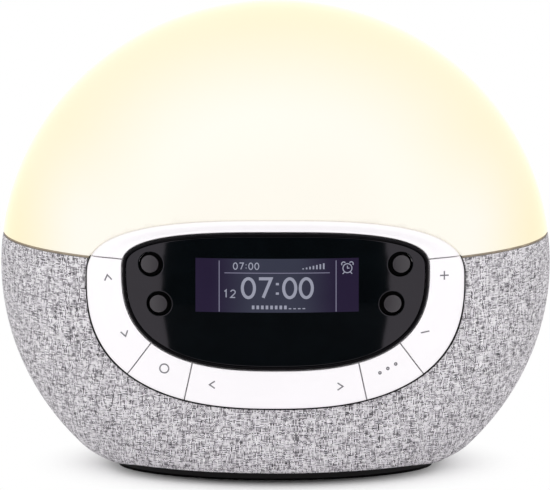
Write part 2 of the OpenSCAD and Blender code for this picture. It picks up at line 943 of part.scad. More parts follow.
module tact_switches() {
    color([0.15, 0.15, 0.16])
        on_panel()
            for (p = switch_at)
                translate([p[0], p[1], board_z])
                    difference() {
                        translate([-switch_w / 2, -switch_w / 2, 0])
                            cube([switch_w, switch_w, switch_h]);
                        translate([0, 0, plunger_seat - board_z - switch_travel - 0.45])
                            cylinder(h = 4, r = plunger_r + 0.4, $fn = round_fn);
                    }
}

module plunger(p) {
    color([0.8, 0.75, 0.6])
        on_panel()
            translate([p[0], p[1], plunger_seat])
                cylinder(h = plunger_top - plunger_seat, r = plunger_r, $fn = round_fn);
}

module rocker_pins() {
    color([0.75, 0.75, 0.78])
        on_panel()
            for (m = rockers)
                at_rocker(m)
                    rotate([0, 90, 0])
                        cylinder(h = pin_length, r = pin_r, center = true, $fn = round_fn);
}

module rocking_key(m) {
    color([0.97, 0.97, 0.98])
        on_panel()
            union() {
                curved_plate(key_under, key_proud)
                    children();
                rocker_lug(m);
                rocker_stems(m);
            }
}

module push_key(p) {
    color([0.97, 0.97, 0.98])
        on_panel()
            union() {
                curved_plate(key_under, key_proud)
                    children();
                post_under(plunger_top, key_under + 0.2)
                    translate(p)
                        circle(stem_r, $fn = round_fn);
                post_collar(p, stem_r + 1.2);
            }
}

// The collar below the bezel plate that keeps a key or button from coming out.
module post_collar(p, r) {
    intersection() {
        translate([p[0], p[1], board_z + 5.5])
            cylinder(h = 30, r = r, $fn = round_fn);
        difference() {
            face_sphere(plate_under - 0.3);
            face_sphere(plate_under - 1.5);
        }
    }
}

module round_button(p) {
    color([0.12, 0.12, 0.13])
        on_panel()
            union() {
                post_under(-sag(p) + plate_under - 1.2, window_face + 0.5)
                    translate(p)
                        circle(button_r, $fn = round_fn);
                post_under(-sag(p) + plate_under - 1.2, window_face - 1.1)
                    translate(p)
                        circle(button_hole_r - 0.3, $fn = round_fn);
                post_collar(p, button_hole_r + 0.9);
                translate([p[0], p[1], plunger_top])
                    cylinder(h = -sag(p) + plate_under - plunger_top, r = 1.5, $fn = round_fn);
            }
}

// ---------------------------------------------------------------- back: panel, speaker and power socket

speaker_at = [12, -2];
socket_at = [-31, -9];
collar_t = 2;
collar_z = -7;
socket_seat = rear_face - sag(socket_at) - 1.6;
socket_r = 4;
speaker_rim_r = speaker_r + 3.5;
speaker_screw_at = [for (a = [45:90:315]) (speaker_rim_r + 1) * [cos(a), sin(a)]];
grille_step = 3.9;

// Rings of holes, six more in each ring than in the last.
grille_rings = floor((speaker_r - grille_hole_r) / grille_step);
grille_at = [[0, 0], for (k = [1:grille_rings], i = [0:6 * k - 1])
    k * grille_step * [cos(60 * i / k), sin(60 * i / k)]];

module rear_panel() {
    color([0.8, 0.8, 0.82])
        on_rear()
            difference() {
                union() {
                    curved_plate(rear_under, rear_face)
                        rear_outline(clear);
                    difference() {
                        post_under(collar_z, rear_under + 0.3)
                            translate(speaker_at)
                                circle(speaker_rim_r, $fn = round_fn);
                        translate([speaker_at[0], speaker_at[1], collar_z - 1])
                            cylinder(h = 20, r = speaker_rim_r - collar_t, $fn = round_fn);
                    }
                    for (p = speaker_screw_at)
                        post_under(collar_z, rear_under + 0.3)
                            translate(speaker_at + p)
                                circle(2.6, $fn = round_fn);
                    post_under(socket_seat - 2, rear_under + 0.3)
                        translate(socket_at)
                            circle(7.5, $fn = round_fn);
                }
                for (g = grille_at)
                    translate([speaker_at[0] + g[0], speaker_at[1] + g[1], rear_under - 3])
                        cylinder(h = 8, r = grille_hole_r, $fn = round_fn);
                for (p = rear_screw_at) {
                    translate([p[0], p[1], -20])
                        cylinder(h = 30, r = pilot_r + 0.4, $fn = round_fn);
                    translate([p[0], p[1], -sag(p) + rear_face - 1.2])
                        cylinder(h = 10, r = 2.5, $fn = round_fn);
                }
                for (p = speaker_screw_at)
                    translate([speaker_at[0] + p[0], speaker_at[1] + p[1], collar_z - 1])
                        pilot_hole(5);
                translate([socket_at[0], socket_at[1], socket_seat])
                    cylinder(h = 20, r = 6, $fn = round_fn);
                translate([socket_at[0], socket_at[1], -30])
                    cylinder(h = 40, r = socket_r + 0.05, $fn = round_fn);
            }
}

module rear_panel_screws() {
    color([0.6, 0.6, 0.62])
        on_rear()
            for (p = rear_screw_at)
                translate([p[0], p[1], -sag(p) + rear_face - 1.2])
                    screw(pilot_r, 6.5, 2.2, 1);
}

module at_speaker() {
    on_rear()
        translate([speaker_at[0], speaker_at[1], collar_z])
            children();
}

// A disc or ring turned about the speaker's axis, which points out of the back.
module turned(points) {
    rotate_extrude($fn = 96)
        polygon(points);
}

foam_t = 1;
basket_t = 1.2;
basket_depth = 11;
magnet_r = 11;
magnet_t = 7;

module speaker_gasket() {
    color([0.1, 0.1, 0.1])
        at_speaker()
            difference() {
                translate([0, 0, -foam_t])
                    cylinder(h = foam_t - 0.05, r = speaker_rim_r, $fn = round_fn);
                translate([0, 0, -foam_t - 1])
                    cylinder(h = 4, r = speaker_rim_r - collar_t, $fn = round_fn);
            }
}

module speaker_basket() {
    color([0.25, 0.25, 0.27])
        at_speaker()
            translate([0, 0, -foam_t])
                difference() {
                    union() {
                        turned([[speaker_r - 0.4, 0], [speaker_rim_r, 0], [speaker_rim_r, -basket_t],
                            [speaker_r + 0.8, -basket_t], [magnet_r + 1.6, -basket_depth],
                            [magnet_r - 4, -basket_depth], [magnet_r - 4, -basket_depth + basket_t],
                            [magnet_r + 0.6, -basket_depth + basket_t], [speaker_r - 0.4, -basket_t]]);
                        for (p = speaker_screw_at)
                            translate([p[0], p[1], -basket_t])
                                cylinder(h = basket_t, r = 2.6, $fn = round_fn);
                    }
                    for (p = speaker_screw_at)
                        translate([p[0], p[1], -5])
                            cylinder(h = 10, r = pilot_r + 0.3, $fn = round_fn);
                    for (a = [0:60:300])
                        rotate(a)
                            translate([magnet_r + 2.9, 0, -basket_depth - 2])
                                cylinder(h = basket_depth - 0.5, r = 1.8, $fn = round_fn);
                }
}

module speaker_magnet() {
    color([0.45, 0.45, 0.47])
        at_speaker()
            translate([0, 0, -foam_t - basket_depth - magnet_t])
                cylinder(h = magnet_t - 0.05, r = magnet_r, $fn = round_fn);
}

module speaker_cone() {
    color([0.12, 0.12, 0.12])
        at_speaker()
            translate([0, 0, -foam_t])
                turned([[0, -5.6], [6, -7.6], [speaker_r - 4, -basket_t], [speaker_r - 3.4, -basket_t],
                    [6.2, -8.3], [0, -6.3]]);
}

module speaker_surround() {
    color([0.05, 0.05, 0.05])
        at_speaker()
            translate([0, 0, -foam_t])
                turned([[speaker_r - 3.3, -basket_t], [speaker_r - 2.7, 0.2], [speaker_r - 1.2, 0.8],
                    [speaker_r + 0.2, 0.2], [speaker_r + 0.4, 0.05], [speaker_r - 0.3, 0.05],
                    [speaker_r - 1.2, 0.3], [speaker_r - 2.3, -0.1], [speaker_r - 2.8, -basket_t]]);
}

module speaker_screws() {
    color([0.6, 0.6, 0.62])
        at_speaker()
            for (p = speaker_screw_at)
                translate([p[0], p[1], -foam_t - basket_t])
                    rotate([180, 0, 0])
                        screw(pilot_r, 4.5, 2, 1.2);
}

socket_l = 12;
socket_pin_r = 1;
module power_socket() {
    color([0.08, 0.08, 0.08])
        on_rear()
            translate([socket_at[0], socket_at[1], socket_seat]) {
                difference() {
                    union() {
                        cylinder(h = 1, r = 5.4, $fn = round_fn);
                        translate([0, 0, -socket_l])
                            cylinder(h = socket_l + 0.5, r = socket_r, $fn = round_fn);
                    }
                    translate([0, 0, 1 - 9.5])
                        cylinder(h = 12, r = socket_bore_r, $fn = round_fn);
                }
                translate([0, 0, -9])
                    cylinder(h = 9.2, r = socket_pin_r, $fn = round_fn);
            }
}

module power_socket_nut() {
    color([0.7, 0.7, 0.7])
        on_rear()
            translate([socket_at[0], socket_at[1], socket_seat - 2 - 2.2])
                difference() {
                    cylinder(h = 2.1, r = 6.4, $fn = 6);
                    translate([0, 0, -1])
                        cylinder(h = 5, r = socket_r + 0.05, $fn = round_fn);
                }
}

// Flat leads of the loudspeaker and of the power socket, down to the main board.
lead_gap = 0.8;
module rear_leads() {
    speaker_end = rear_point(speaker_at[1], collar_z - foam_t - basket_depth - magnet_t - lead_gap);
    socket_end = rear_point(socket_at[1], socket_seat - socket_l - lead_gap);
    color([0.2, 0.2, 0.2]) {
        translate([-speaker_at[0], 0, 0])
            flat_lead([speaker_end, speaker_end - [3, 0], [speaker_end[0] - 3, main_board_z + 16],
                [4, main_board_z + 6], [4, main_board_z + board_size[2] + 0.5]], 0.8, 3);
        translate([-socket_at[0], 0, 0])
            flat_lead([socket_end, socket_end - [5, 0], [socket_end[0] - 5, main_board_z + 14],
                [0, main_board_z + 6], [0, main_board_z + board_size[2] + 0.5]], 0.8, 3);
    }
}

// ---------------------------------------------------------------- main board

module at_main_board() {
    translate([0, 0, main_board_z])
        children();
}

module main_board() {
    color([0.1, 0.35, 0.2])
        at_main_board()
            difference() {
                translate([-board_size[0] / 2, -board_size[1] / 2, 0.05])
                    cube([board_size[0], board_size[1], board_size[2] - 0.05]);
                for (p = main_post_at)
                    translate([p[0], p[1], -1])
                        cylinder(h = 5, r = pilot_r + 0.3, $fn = round_fn);
            }
}

module main_board_chips() {
    color([0.08, 0.08, 0.09])
        at_main_board()
            for (c = [[-16, -6, 10, 10, 1.4], [-28, 3, 5, 6, 1.5], [28, -5, 6, 5, 1.5], [20, 8, 8, 8, 4]])
                translate([c[0] - c[2] / 2, c[1] - c[3] / 2, board_size[2] + 0.02])
                    cube([c[2], c[3], c[4]]);
}

module main_board_capacitors() {
    color([0.2, 0.2, 0.35])
        at_main_board()
            for (i = [0:3])
                translate([12 + 6.7 * (i % 2), -13 + 8 * floor(i / 2), board_size[2] + 0.02])
                    cylinder(h = 9, r = 2.8, $fn = round_fn);
}

module radio_shield() {
    color([0.75, 0.76, 0.78])
        at_main_board()
            translate([-47.4, -6.5, board_size[2] + 0.02])
                cube([11, 13, 2.8]);
}

module main_board_screws() {
    color([0.6, 0.6, 0.62])
        at_main_board()
            for (p = main_post_at)
                translate([p[0], p[1], board_size[2]])
                    screw(pilot_r, 5.5, 2.2, 1.4);
}

// ---------------------------------------------------------------- nodes

diffuser_dome();
dome_gasket();
fabric_cover();
lower_housing();
base_plate();
foot_pad();
base_screws();
light_tray();
led_board();
leds();
tray_screws();
led_lead();
panel_bezel();
window_rim();
display_window();
lcd_glass();
lcd_backlight();
lcd_frame();
panel_board();
panel_board_screws();
panel_ribbon();
tact_switches();
rocker_pins();
rocking_key(side_marks) side_key_outline();  // up_down_key
for (p = side_marks) plunger(p);  // up_down_plungers
push_key(corner_mark) corner_key_outline();  // select_key
plunger(corner_mark);  // select_plunger
rocking_key(bottom_marks) bottom_key_outline();  // left_right_key
for (p = bottom_marks) plunger(p);  // left_right_plungers
push_key(mirrored(corner_mark)) right_key_outline();  // preset_key
plunger(mirrored(corner_mark));  // preset_plunger
rocking_key(right_marks) mirror([1, 0]) side_key_outline();  // plus_minus_key
for (p = right_marks) plunger(p);  // plus_minus_plungers
round_button(button_at[0]);  // upper_left_button
plunger(button_at[0]);  // upper_left_plunger
round_button(button_at[1]);  // lower_left_button
plunger(button_at[1]);  // lower_left_plunger
round_button(button_at[2]);  // upper_right_button
plunger(button_at[2]);  // upper_right_plunger
round_button(button_at[3]);  // lower_right_button
plunger(button_at[3]);  // lower_right_plunger
rear_panel();
rear_panel_screws();
speaker_basket();
speaker_magnet();
speaker_cone();
speaker_surround();
speaker_gasket();
speaker_screws();
power_socket();
power_socket_nut();
rear_leads();
main_board();
main_board_chips();
main_board_capacitors();
radio_shield();
main_board_screws();
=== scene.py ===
"""Looks of a sunrise alarm clock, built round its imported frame.

Metres, +Z up, the front faces -Y and the origin is under the middle of the foot.
"""

import logging
import math
from collections.abc import Callable, Iterable, Sequence
from dataclasses import dataclass, field, replace
from enum import Enum

import bmesh
import bpy
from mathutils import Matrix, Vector
from mathutils.bvhtree import BVHTree
from mathutils.geometry import delaunay_2d_cdt


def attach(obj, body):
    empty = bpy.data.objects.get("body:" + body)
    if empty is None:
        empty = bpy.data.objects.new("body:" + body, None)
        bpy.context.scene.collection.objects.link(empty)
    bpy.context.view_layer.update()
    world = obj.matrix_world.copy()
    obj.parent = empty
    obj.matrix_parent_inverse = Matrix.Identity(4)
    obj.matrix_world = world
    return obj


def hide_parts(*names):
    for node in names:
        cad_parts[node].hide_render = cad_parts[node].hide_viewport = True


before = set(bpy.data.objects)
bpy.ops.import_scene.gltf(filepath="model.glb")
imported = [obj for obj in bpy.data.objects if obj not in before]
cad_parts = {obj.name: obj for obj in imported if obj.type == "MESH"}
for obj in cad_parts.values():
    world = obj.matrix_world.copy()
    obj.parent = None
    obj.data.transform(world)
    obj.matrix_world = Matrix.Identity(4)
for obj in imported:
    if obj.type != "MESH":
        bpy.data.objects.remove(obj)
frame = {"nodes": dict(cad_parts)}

LOG = logging.getLogger("clock")
MM = 0.001
CLOCK_BODY = "clock"
WHITE = (1.0, 1.0, 1.0)
Point2 = tuple[float, float]
Colour = tuple[float, float, float]


# ---------------------------------------------------------------- colours and shader arithmetic


def mm(*lengths: float) -> tuple[float, ...]:
    """Returns lengths in metres that are given in millimetres."""
    return tuple(length * MM for length in lengths)


def srgb(red: float, green: float, blue: float) -> Colour:
    """Turns a colour written from 0 to 255 into the linear values that shaders take.

    Args:
        red, green, blue: The colour as a screen shows it.

    Returns:
        The linear colour.
    """
    return tuple(
        v / 12.92 if v <= 0.04045 else ((v + 0.055) / 1.055) ** 2.4
        for v in (red / 255, green / 255, blue / 255)
    )


def tinted(colour: Colour, gain: float) -> Colour:
    """Returns the colour made lighter or darker by a gain, kept at or below white."""
    return tuple(min(1.0, v * gain) for v in colour)


def operator(operation: str, swapped: bool = False) -> Callable[..., "Sock"]:
    """Returns a method that joins a socket and other values by a Math node.

    Args:
        operation: The Math node's operation.
        swapped: Whether the socket comes after the other values.

    Returns:
        The method.
    """

    def method(self: "Sock", *others: "Sock | float") -> "Sock":
        """Returns the operation's result."""
        values = (*others, self) if swapped else (self, *others)
        return self.shader.node("ShaderNodeMath", {"operation": operation}, dict(enumerate(values)))

    return method


class Sock:
    """A node socket that takes part in Python arithmetic; each operator adds a Math node."""

    __add__ = __radd__ = operator("ADD")
    __sub__ = operator("SUBTRACT")
    __rsub__ = operator("SUBTRACT", swapped=True)
    __mul__ = __rmul__ = operator("MULTIPLY")
    __truediv__ = operator("DIVIDE")
    __gt__ = operator("GREATER_THAN")
    floor = operator("FLOOR")
    sin = operator("SINE")
    cos = operator("COSINE")
    abs = operator("ABSOLUTE")
    root = operator("SQRT")
    highest = operator("MAXIMUM")

    def __init__(self, shader: "Shader", socket: bpy.types.NodeSocket) -> None:
        """Wraps an output socket of the shader's tree."""
        self.shader = shader
        self.socket = socket

    def ramp(self, low: float, high: float, start: float = 0.0, end: float = 1.0) -> "Sock":
        """Maps the span from low to high onto start to end with a smooth step.

        Args:
            low, high: The span that is read.
            start, end: What its two ends become.

        Returns:
            The mapped value, which stays between start and end.
        """
        return self.shader.node(
            "ShaderNodeMapRange",
            {"interpolation_type": "SMOOTHSTEP"},
            {0: self, 1: low, 2: high, 3: start, 4: end},
        )


Value = Sock | float | Sequence[float]


class Shader:
    """A node tree under construction, of a material or of the world."""

    def __init__(self, owner: bpy.types.Material | bpy.types.World) -> None:
        """Empties the owner's tree.

        Args:
            owner: The material or the world.
        """
        owner.use_nodes = True
        self.owner = owner
        self.tree = owner.node_tree
        self.tree.nodes.clear()

    def node(
        self,
        kind: str,
        settings: dict[str, object] | None = None,
        inputs: dict[int | str, Value] | None = None,
        output: int | str = 0,
    ) -> Sock:
        """Adds a node.

        Args:
            kind: The node's type.
            settings: Its properties, set first. The key "stops" fills a colour ramp.
            inputs: Values or links for its sockets, by name or number.
            output: The socket that is returned.

        Returns:
            The wrapped output socket.
        """
        made = self.tree.nodes.new(kind)
        for name, value in (settings or {}).items():
            if name == "stops":
                self._fill(made.color_ramp, value)
            else:
                setattr(made, name, value)
        for key, value in (inputs or {}).items():
            self.plug(made.inputs[key], value)
        return Sock(self, made.outputs[output])

    @staticmethod
    def _fill(ramp: bpy.types.ColorRamp, stops: Sequence[tuple[float, Colour]]) -> None:
        """Gives a colour ramp its stops.

        Args:
            ramp: The ramp.
            stops: Places and linear colours.
        """
        while len(ramp.elements) < len(stops):
            ramp.elements.new(1.0)
        for element, (place, colour) in zip(ramp.elements, stops):
            element.position = place
            element.color = (*colour, 1.0)

    def plug(self, socket: bpy.types.NodeSocket, value: Value) -> None:
        """Links a wrapped socket to an input, or sets the input's own value.

        Args:
            socket: The input.
            value: What it takes; a short one is filled up with 1.
        """
        if isinstance(value, Sock):
            self.tree.links.new(value.socket, socket)
        elif isinstance(value, (int, float)):
            socket.default_value = value
        else:
            size = len(socket.default_value)
            socket.default_value = (*value, 1.0)[:size]

    def place(self) -> Sock:
        """Returns the point on the piece, in metres."""
        return self.node("ShaderNodeTexCoord", output="Object")

    def axes(self, vector: Sock) -> tuple[Sock, Sock, Sock]:
        """Returns the three parts of a vector."""
        split = self.node("ShaderNodeSeparateXYZ", None, {0: vector}).socket.node
        return tuple(Sock(self, split.outputs[i]) for i in range(3))

    def vector(self, x: Value, y: Value, z: Value = 0.0) -> Sock:
        """Returns a vector made of three values."""
        return self.node("ShaderNodeCombineXYZ", None, {0: x, 1: y, 2: z})

    def stretch(self, vector: Sock, factors: Sequence[float]) -> Sock:
        """Returns the vector with each part multiplied by its own factor."""
        return self.node("ShaderNodeVectorMath", {"operation": "MULTIPLY"}, {0: vector, 1: factors})

    def noise(self, vector: Sock, grain: float, detail: float = 2.0, rough: float = 0.5) -> Sock:
        """Returns cloudy noise.

        Args:
            vector: Where it is read.
            grain: The size of its clouds, in the vector's own unit.
            detail: How many finer layers it has.
            rough: The strength of the finer layers.

        Returns:
            A value from 0 to 1, mostly near the middle.
        """
        inputs = {"Vector": vector, "Scale": 1 / grain, "Detail": detail, "Roughness": rough}
        return self.node("ShaderNodeTexNoise", {"noise_dimensions": "3D"}, inputs)

    def cells(self, vector: Sock, grain: float, feature: str = "F1") -> Sock:
        """Returns the distance field of scattered cells, for pits, specks and lanes."""
        inputs = {"Vector": vector, "Scale": 1 / grain}
        return self.node("ShaderNodeTexVoronoi", {"feature": feature}, inputs)

    def mix(self, factor: Value, first: Value, second: Value, blend: str = "MIX") -> Sock:
        """Returns one colour laid over another.

        Args:
            factor: How much of the second shows.
            first, second: Linear colours or sockets.
            blend: The way the second is laid on the first.

        Returns:
            The mixed colour.
        """
        settings = {"data_type": "RGBA", "blend_type": blend}
        return self.node("ShaderNodeMix", settings, {0: factor, 6: first, 7: second}, output=2)

    def clouded(self, colour: Colour, factor: Sock, low: float, high: float) -> Sock:
        """Returns a colour that goes from one gain to another as the factor rises."""
        return self.mix(factor, tinted(colour, low), tinted(colour, high))

    def shaded(self, colour: Value, shade: Sock) -> Sock:
        """Returns a colour multiplied by a shade."""
        return self.mix(1.0, colour, self.vector(shade, shade, shade), "MULTIPLY")

    def bump(self, height: Sock, distance: float, strength: float = 1.0) -> Sock:
        """Returns a normal that shows a height from 0 to 1 as relief of that distance in metres."""
        inputs = {"Height": height, "Distance": distance, "Strength": strength}
        return self.node("ShaderNodeBump", None, inputs)

    def seen(self) -> Sock:
        """Tells the rays by which a surface is seen or mirrored from those that light.

        Returns:
            1 for camera, glossy and transmission rays, else 0.
        """
        found = self.node("ShaderNodeLightPath", output="Is Camera Ray")
        outputs = found.socket.node.outputs
        for kind in ("Is Glossy Ray", "Is Transmission Ray"):
            found = found.highest(Sock(self, outputs[kind]))
        return found

    def show(self, surface: Sock, output: str = "ShaderNodeOutputMaterial") -> None:
        """Links a surface to the tree's output."""
        made = self.tree.nodes.new(output)
        self.tree.links.new(surface.socket, made.inputs["Surface"])


# ---------------------------------------------------------------- finishes


@dataclass(frozen=True)
class Finish:
    """What all finishes share: a material's name, and how it is built from its surface's inputs."""

    name: str

    def build(self) -> bpy.types.Material:
        """Returns the material."""
        s = Shader(bpy.data.materials.new(self.name))
        inputs = {key.replace("_", " "): value for key, value in self.inputs(s, s.place()).items()}
        s.show(s.node("ShaderNodeBsdfPrincipled", None, inputs))
        return s.owner

    def inputs(self, s: Shader, at: Sock) -> dict[str, Value]:
        """Works out the surface.

        Args:
            s: The shader under construction.
            at: The point on the piece, in metres.

        Returns:
            The Principled surface's inputs, with _ for each space in their names.
        """
        raise NotImplementedError


@dataclass(frozen=True)
class Moulded(Finish):
    """Moulded plastic: an even colour with faint flow clouds and a fine spark-eroded grain."""

    colour: Colour
    roughness: float = 0.4
    grain: float = 0.25 * MM
    relief: float = 0.006 * MM
    clouding: float = 0.03
    specular: float = 0.5
    cloud_size: float = 22 * MM

    def inputs(self, s: Shader, at: Sock) -> dict[str, Value]:
        """Works out the surface; see Finish."""
        cloud = s.noise(at, self.cloud_size, 3.0)
        fine = s.noise(at, self.grain)
        low, high = 1 - self.clouding, 1 + self.clouding
        return {
            "Base_Color": s.clouded(self.colour, cloud.ramp(0.3, 0.7), low, high),
            "Roughness": (self.roughness - 0.05) + 0.06 * cloud + 0.05 * fine,
            "Normal": s.bump(fine, self.relief),
            "Specular_IOR_Level": self.specular,
        }


@dataclass(frozen=True)
class Metal(Finish):
    """Plated or turned metal with fine streaks along one direction and dulled patches."""

    colour: Colour
    roughness: float = 0.3
    streaks: Colour = (1.0, 1.0, 0.08)
    streak_size: float = 0.12 * MM
    patch_size: float = 5 * MM
    relief: float = 0.004 * MM

    def inputs(self, s: Shader, at: Sock) -> dict[str, Value]:
        """Works out the surface; see Finish."""
        streak = s.noise(s.stretch(at, self.streaks), self.streak_size, 3.0)
        patch = s.noise(at, self.patch_size)
        return {
            "Base_Color": s.clouded(self.colour, patch.ramp(0.35, 0.7), 0.86, 1.0),
            "Metallic": 0.9 + 0.1 * streak,
            "Roughness": (self.roughness - 0.08) + 0.12 * streak + 0.08 * patch,
            "Normal": s.bump(streak, self.relief),
        }


@dataclass(frozen=True)
class Rubber(Finish):
    """Soft rubber or foam with open pits, painted darker as shade inside them, and a dusty bloom.
    """

    colour: Colour
    pit: float = 0.35 * MM
    relief: float = 0.03 * MM
    specular: float = 0.5
    bloom_size: float = 6 * MM

    def inputs(self, s: Shader, at: Sock) -> dict[str, Value]:
        """Works out the surface; see Finish."""
        pits = s.cells(at, self.pit)
        bloom = s.noise(at, self.bloom_size, 4.0, 0.6)
        dusty = s.clouded(self.colour, bloom.ramp(0.42, 0.72), 1.0, 1.5)
        return {
            # painted shade: the colour darkens towards the middle of each pit
            "Base_Color": s.mix(pits.ramp(0.0, 0.5, 0.5, 0.0), dusty, tinted(self.colour, 0.6)),
            "Roughness": 0.72 + 0.2 * bloom,
            "Normal": s.bump(pits, self.relief),
            "Specular_IOR_Level": self.specular,
        }


@dataclass(frozen=True)
class CircuitBoard(Finish):
    """Solder mask over copper: tracks in straight lanes, round pads and a faint glass weave."""

    mask: Colour
    track: Colour
    pad: Colour = srgb(196, 190, 170)
    lane_pitch: float = 3.2 * MM
    lane_shape: Colour = (1.0, 0.35, 0.35)
    pad_pitch: float = 2.6 * MM
    glass_pitch: float = 0.4 * MM
    relief: float = 0.03 * MM

    def inputs(self, s: Shader, at: Sock) -> dict[str, Value]:
        """Works out the surface; see Finish."""
        lanes = s.cells(s.stretch(at, self.lane_shape), self.lane_pitch, "DISTANCE_TO_EDGE")
        tracks = lanes.ramp(0.05, 0.07, 1.0, 0.0)
        pads = s.cells(at, self.pad_pitch).ramp(0.16, 0.19, 1.0, 0.0)
        weave = s.noise(at, self.glass_pitch, 1.0)
        return {
            "Base_Color": s.mix(pads, s.mix(tracks, self.mask, self.track), self.pad),
            "Metallic": 0.7 * pads,
            "Roughness": 0.32 + 0.1 * weave - 0.06 * tracks,
            "Normal": s.bump(tracks + 0.2 * weave, self.relief),
        }


@dataclass(frozen=True)
class Striped(Finish):
    """Flat cable: parallel insulated wires side by side, with painted shade in the grooves between
    them.
    """

    colour: Colour
    groove_shade: Colour
    pitch: float = 1.0 * MM
    dirt_size: float = 4 * MM
    relief: float = 0.2 * MM

    def inputs(self, s: Shader, at: Sock) -> dict[str, Value]:
        """Works out the surface; see Finish."""
        wave = (s.axes(at)[0] * (math.pi / self.pitch)).sin().abs()
        dirt = s.noise(at, self.dirt_size, 3.0)
        return {
            # painted shade: the colour turns to the darker groove colour where the wires meet
            "Base_Color": s.mix(wave.ramp(0.0, 0.45), self.groove_shade, self.colour),
            "Roughness": 0.4 + 0.2 * dirt,
            "Normal": s.bump(wave.root(), self.relief),
        }


@dataclass(frozen=True)
class PulpCone(Finish):
    """Pressed paper of a loudspeaker cone, with fibres."""

    colour: Colour
    fibre_size: float = 0.5 * MM
    cloud_size: float = 7 * MM
    relief: float = 0.06 * MM

    def inputs(self, s: Shader, at: Sock) -> dict[str, Value]:
        """Works out the surface; see Finish."""
        fibre = s.noise(s.stretch(at, (1.0, 0.25, 1.0)), self.fibre_size, 5.0, 0.65)
        cloud = s.noise(at, self.cloud_size)
        return {
            "Base_Color": s.clouded(self.colour, fibre.ramp(0.35, 0.7), 0.7, 1.5),
            "Roughness": 0.75 + 0.15 * cloud,
            "Normal": s.bump(fibre, self.relief),
        }


@dataclass(frozen=True)
class BlackGloss(Finish):
    """Polished black acrylic with faint polishing haze."""

    colour: Colour = srgb(4, 7, 9)
    roughness: float = 0.05
    specular: float = 0.5
    tint: Colour = (1.0, 0.9, 1.02)
    haze_size: float = 9 * MM
    line_size: float = 0.2 * MM
    relief: float = 0.002 * MM

    def inputs(self, s: Shader, at: Sock) -> dict[str, Value]:
        """Works out the surface; see Finish."""
        haze = s.noise(at, self.haze_size, 3.0)
        hairline = s.noise(s.stretch(at, (0.05, 1.0, 1.0)), self.line_size)
        return {
            "Base_Color": s.clouded(self.colour, haze.ramp(0.3, 0.7), 1.0, 1.35),
            "Roughness": self.roughness + 0.02 * haze + 0.015 * hairline,
            "Normal": s.bump(haze, self.relief),
            "Specular_IOR_Level": self.specular,
            "Specular_Tint": self.tint,
        }


@dataclass(frozen=True)
class Opal(Finish):
    """Opal plastic lit from inside: nearly white in the middle and warmer towards its edges."""

    heart: Colour = srgb(255, 251, 240)
    edge: Colour = srgb(255, 243, 204)
    albedo: float = 0.34
    glow: float = 0.64
    middle: float = 118 * MM
    reach: Point2 = mm(96, 62)
    fade_low: float = 98 * MM
    fade_high: float = 136 * MM
    cloud_size: float = 30 * MM
    relief: float = 0.01 * MM

    def inputs(self, s: Shader, at: Sock) -> dict[str, Value]:
        """Works out the surface; see Finish."""
        x, _, z = s.axes(at)
        across = x / self.reach[0]
        up = (z - self.middle) / self.reach[1]
        away = (across * across + up * up).root()
        cloud = s.noise(at, self.cloud_size)
        high = away.ramp(0.36, 1.1)
        low = across.abs().ramp(0.76, 1.08)
        warmth = high + z.ramp(self.fade_low, self.fade_high, 1.0, 0.0) * (low - high)
        light = s.mix(warmth + 0.06 * cloud - 0.03, self.heart, self.edge)
        return {
            "Base_Color": s.mix(self.albedo, (0.0, 0.0, 0.0), light),
            "Emission_Color": light,
            "Emission_Strength": self.glow,
            "Roughness": 0.22 + 0.05 * cloud,
            "Specular_IOR_Level": 0.35,
            "Normal": s.bump(cloud, self.relief),
        }


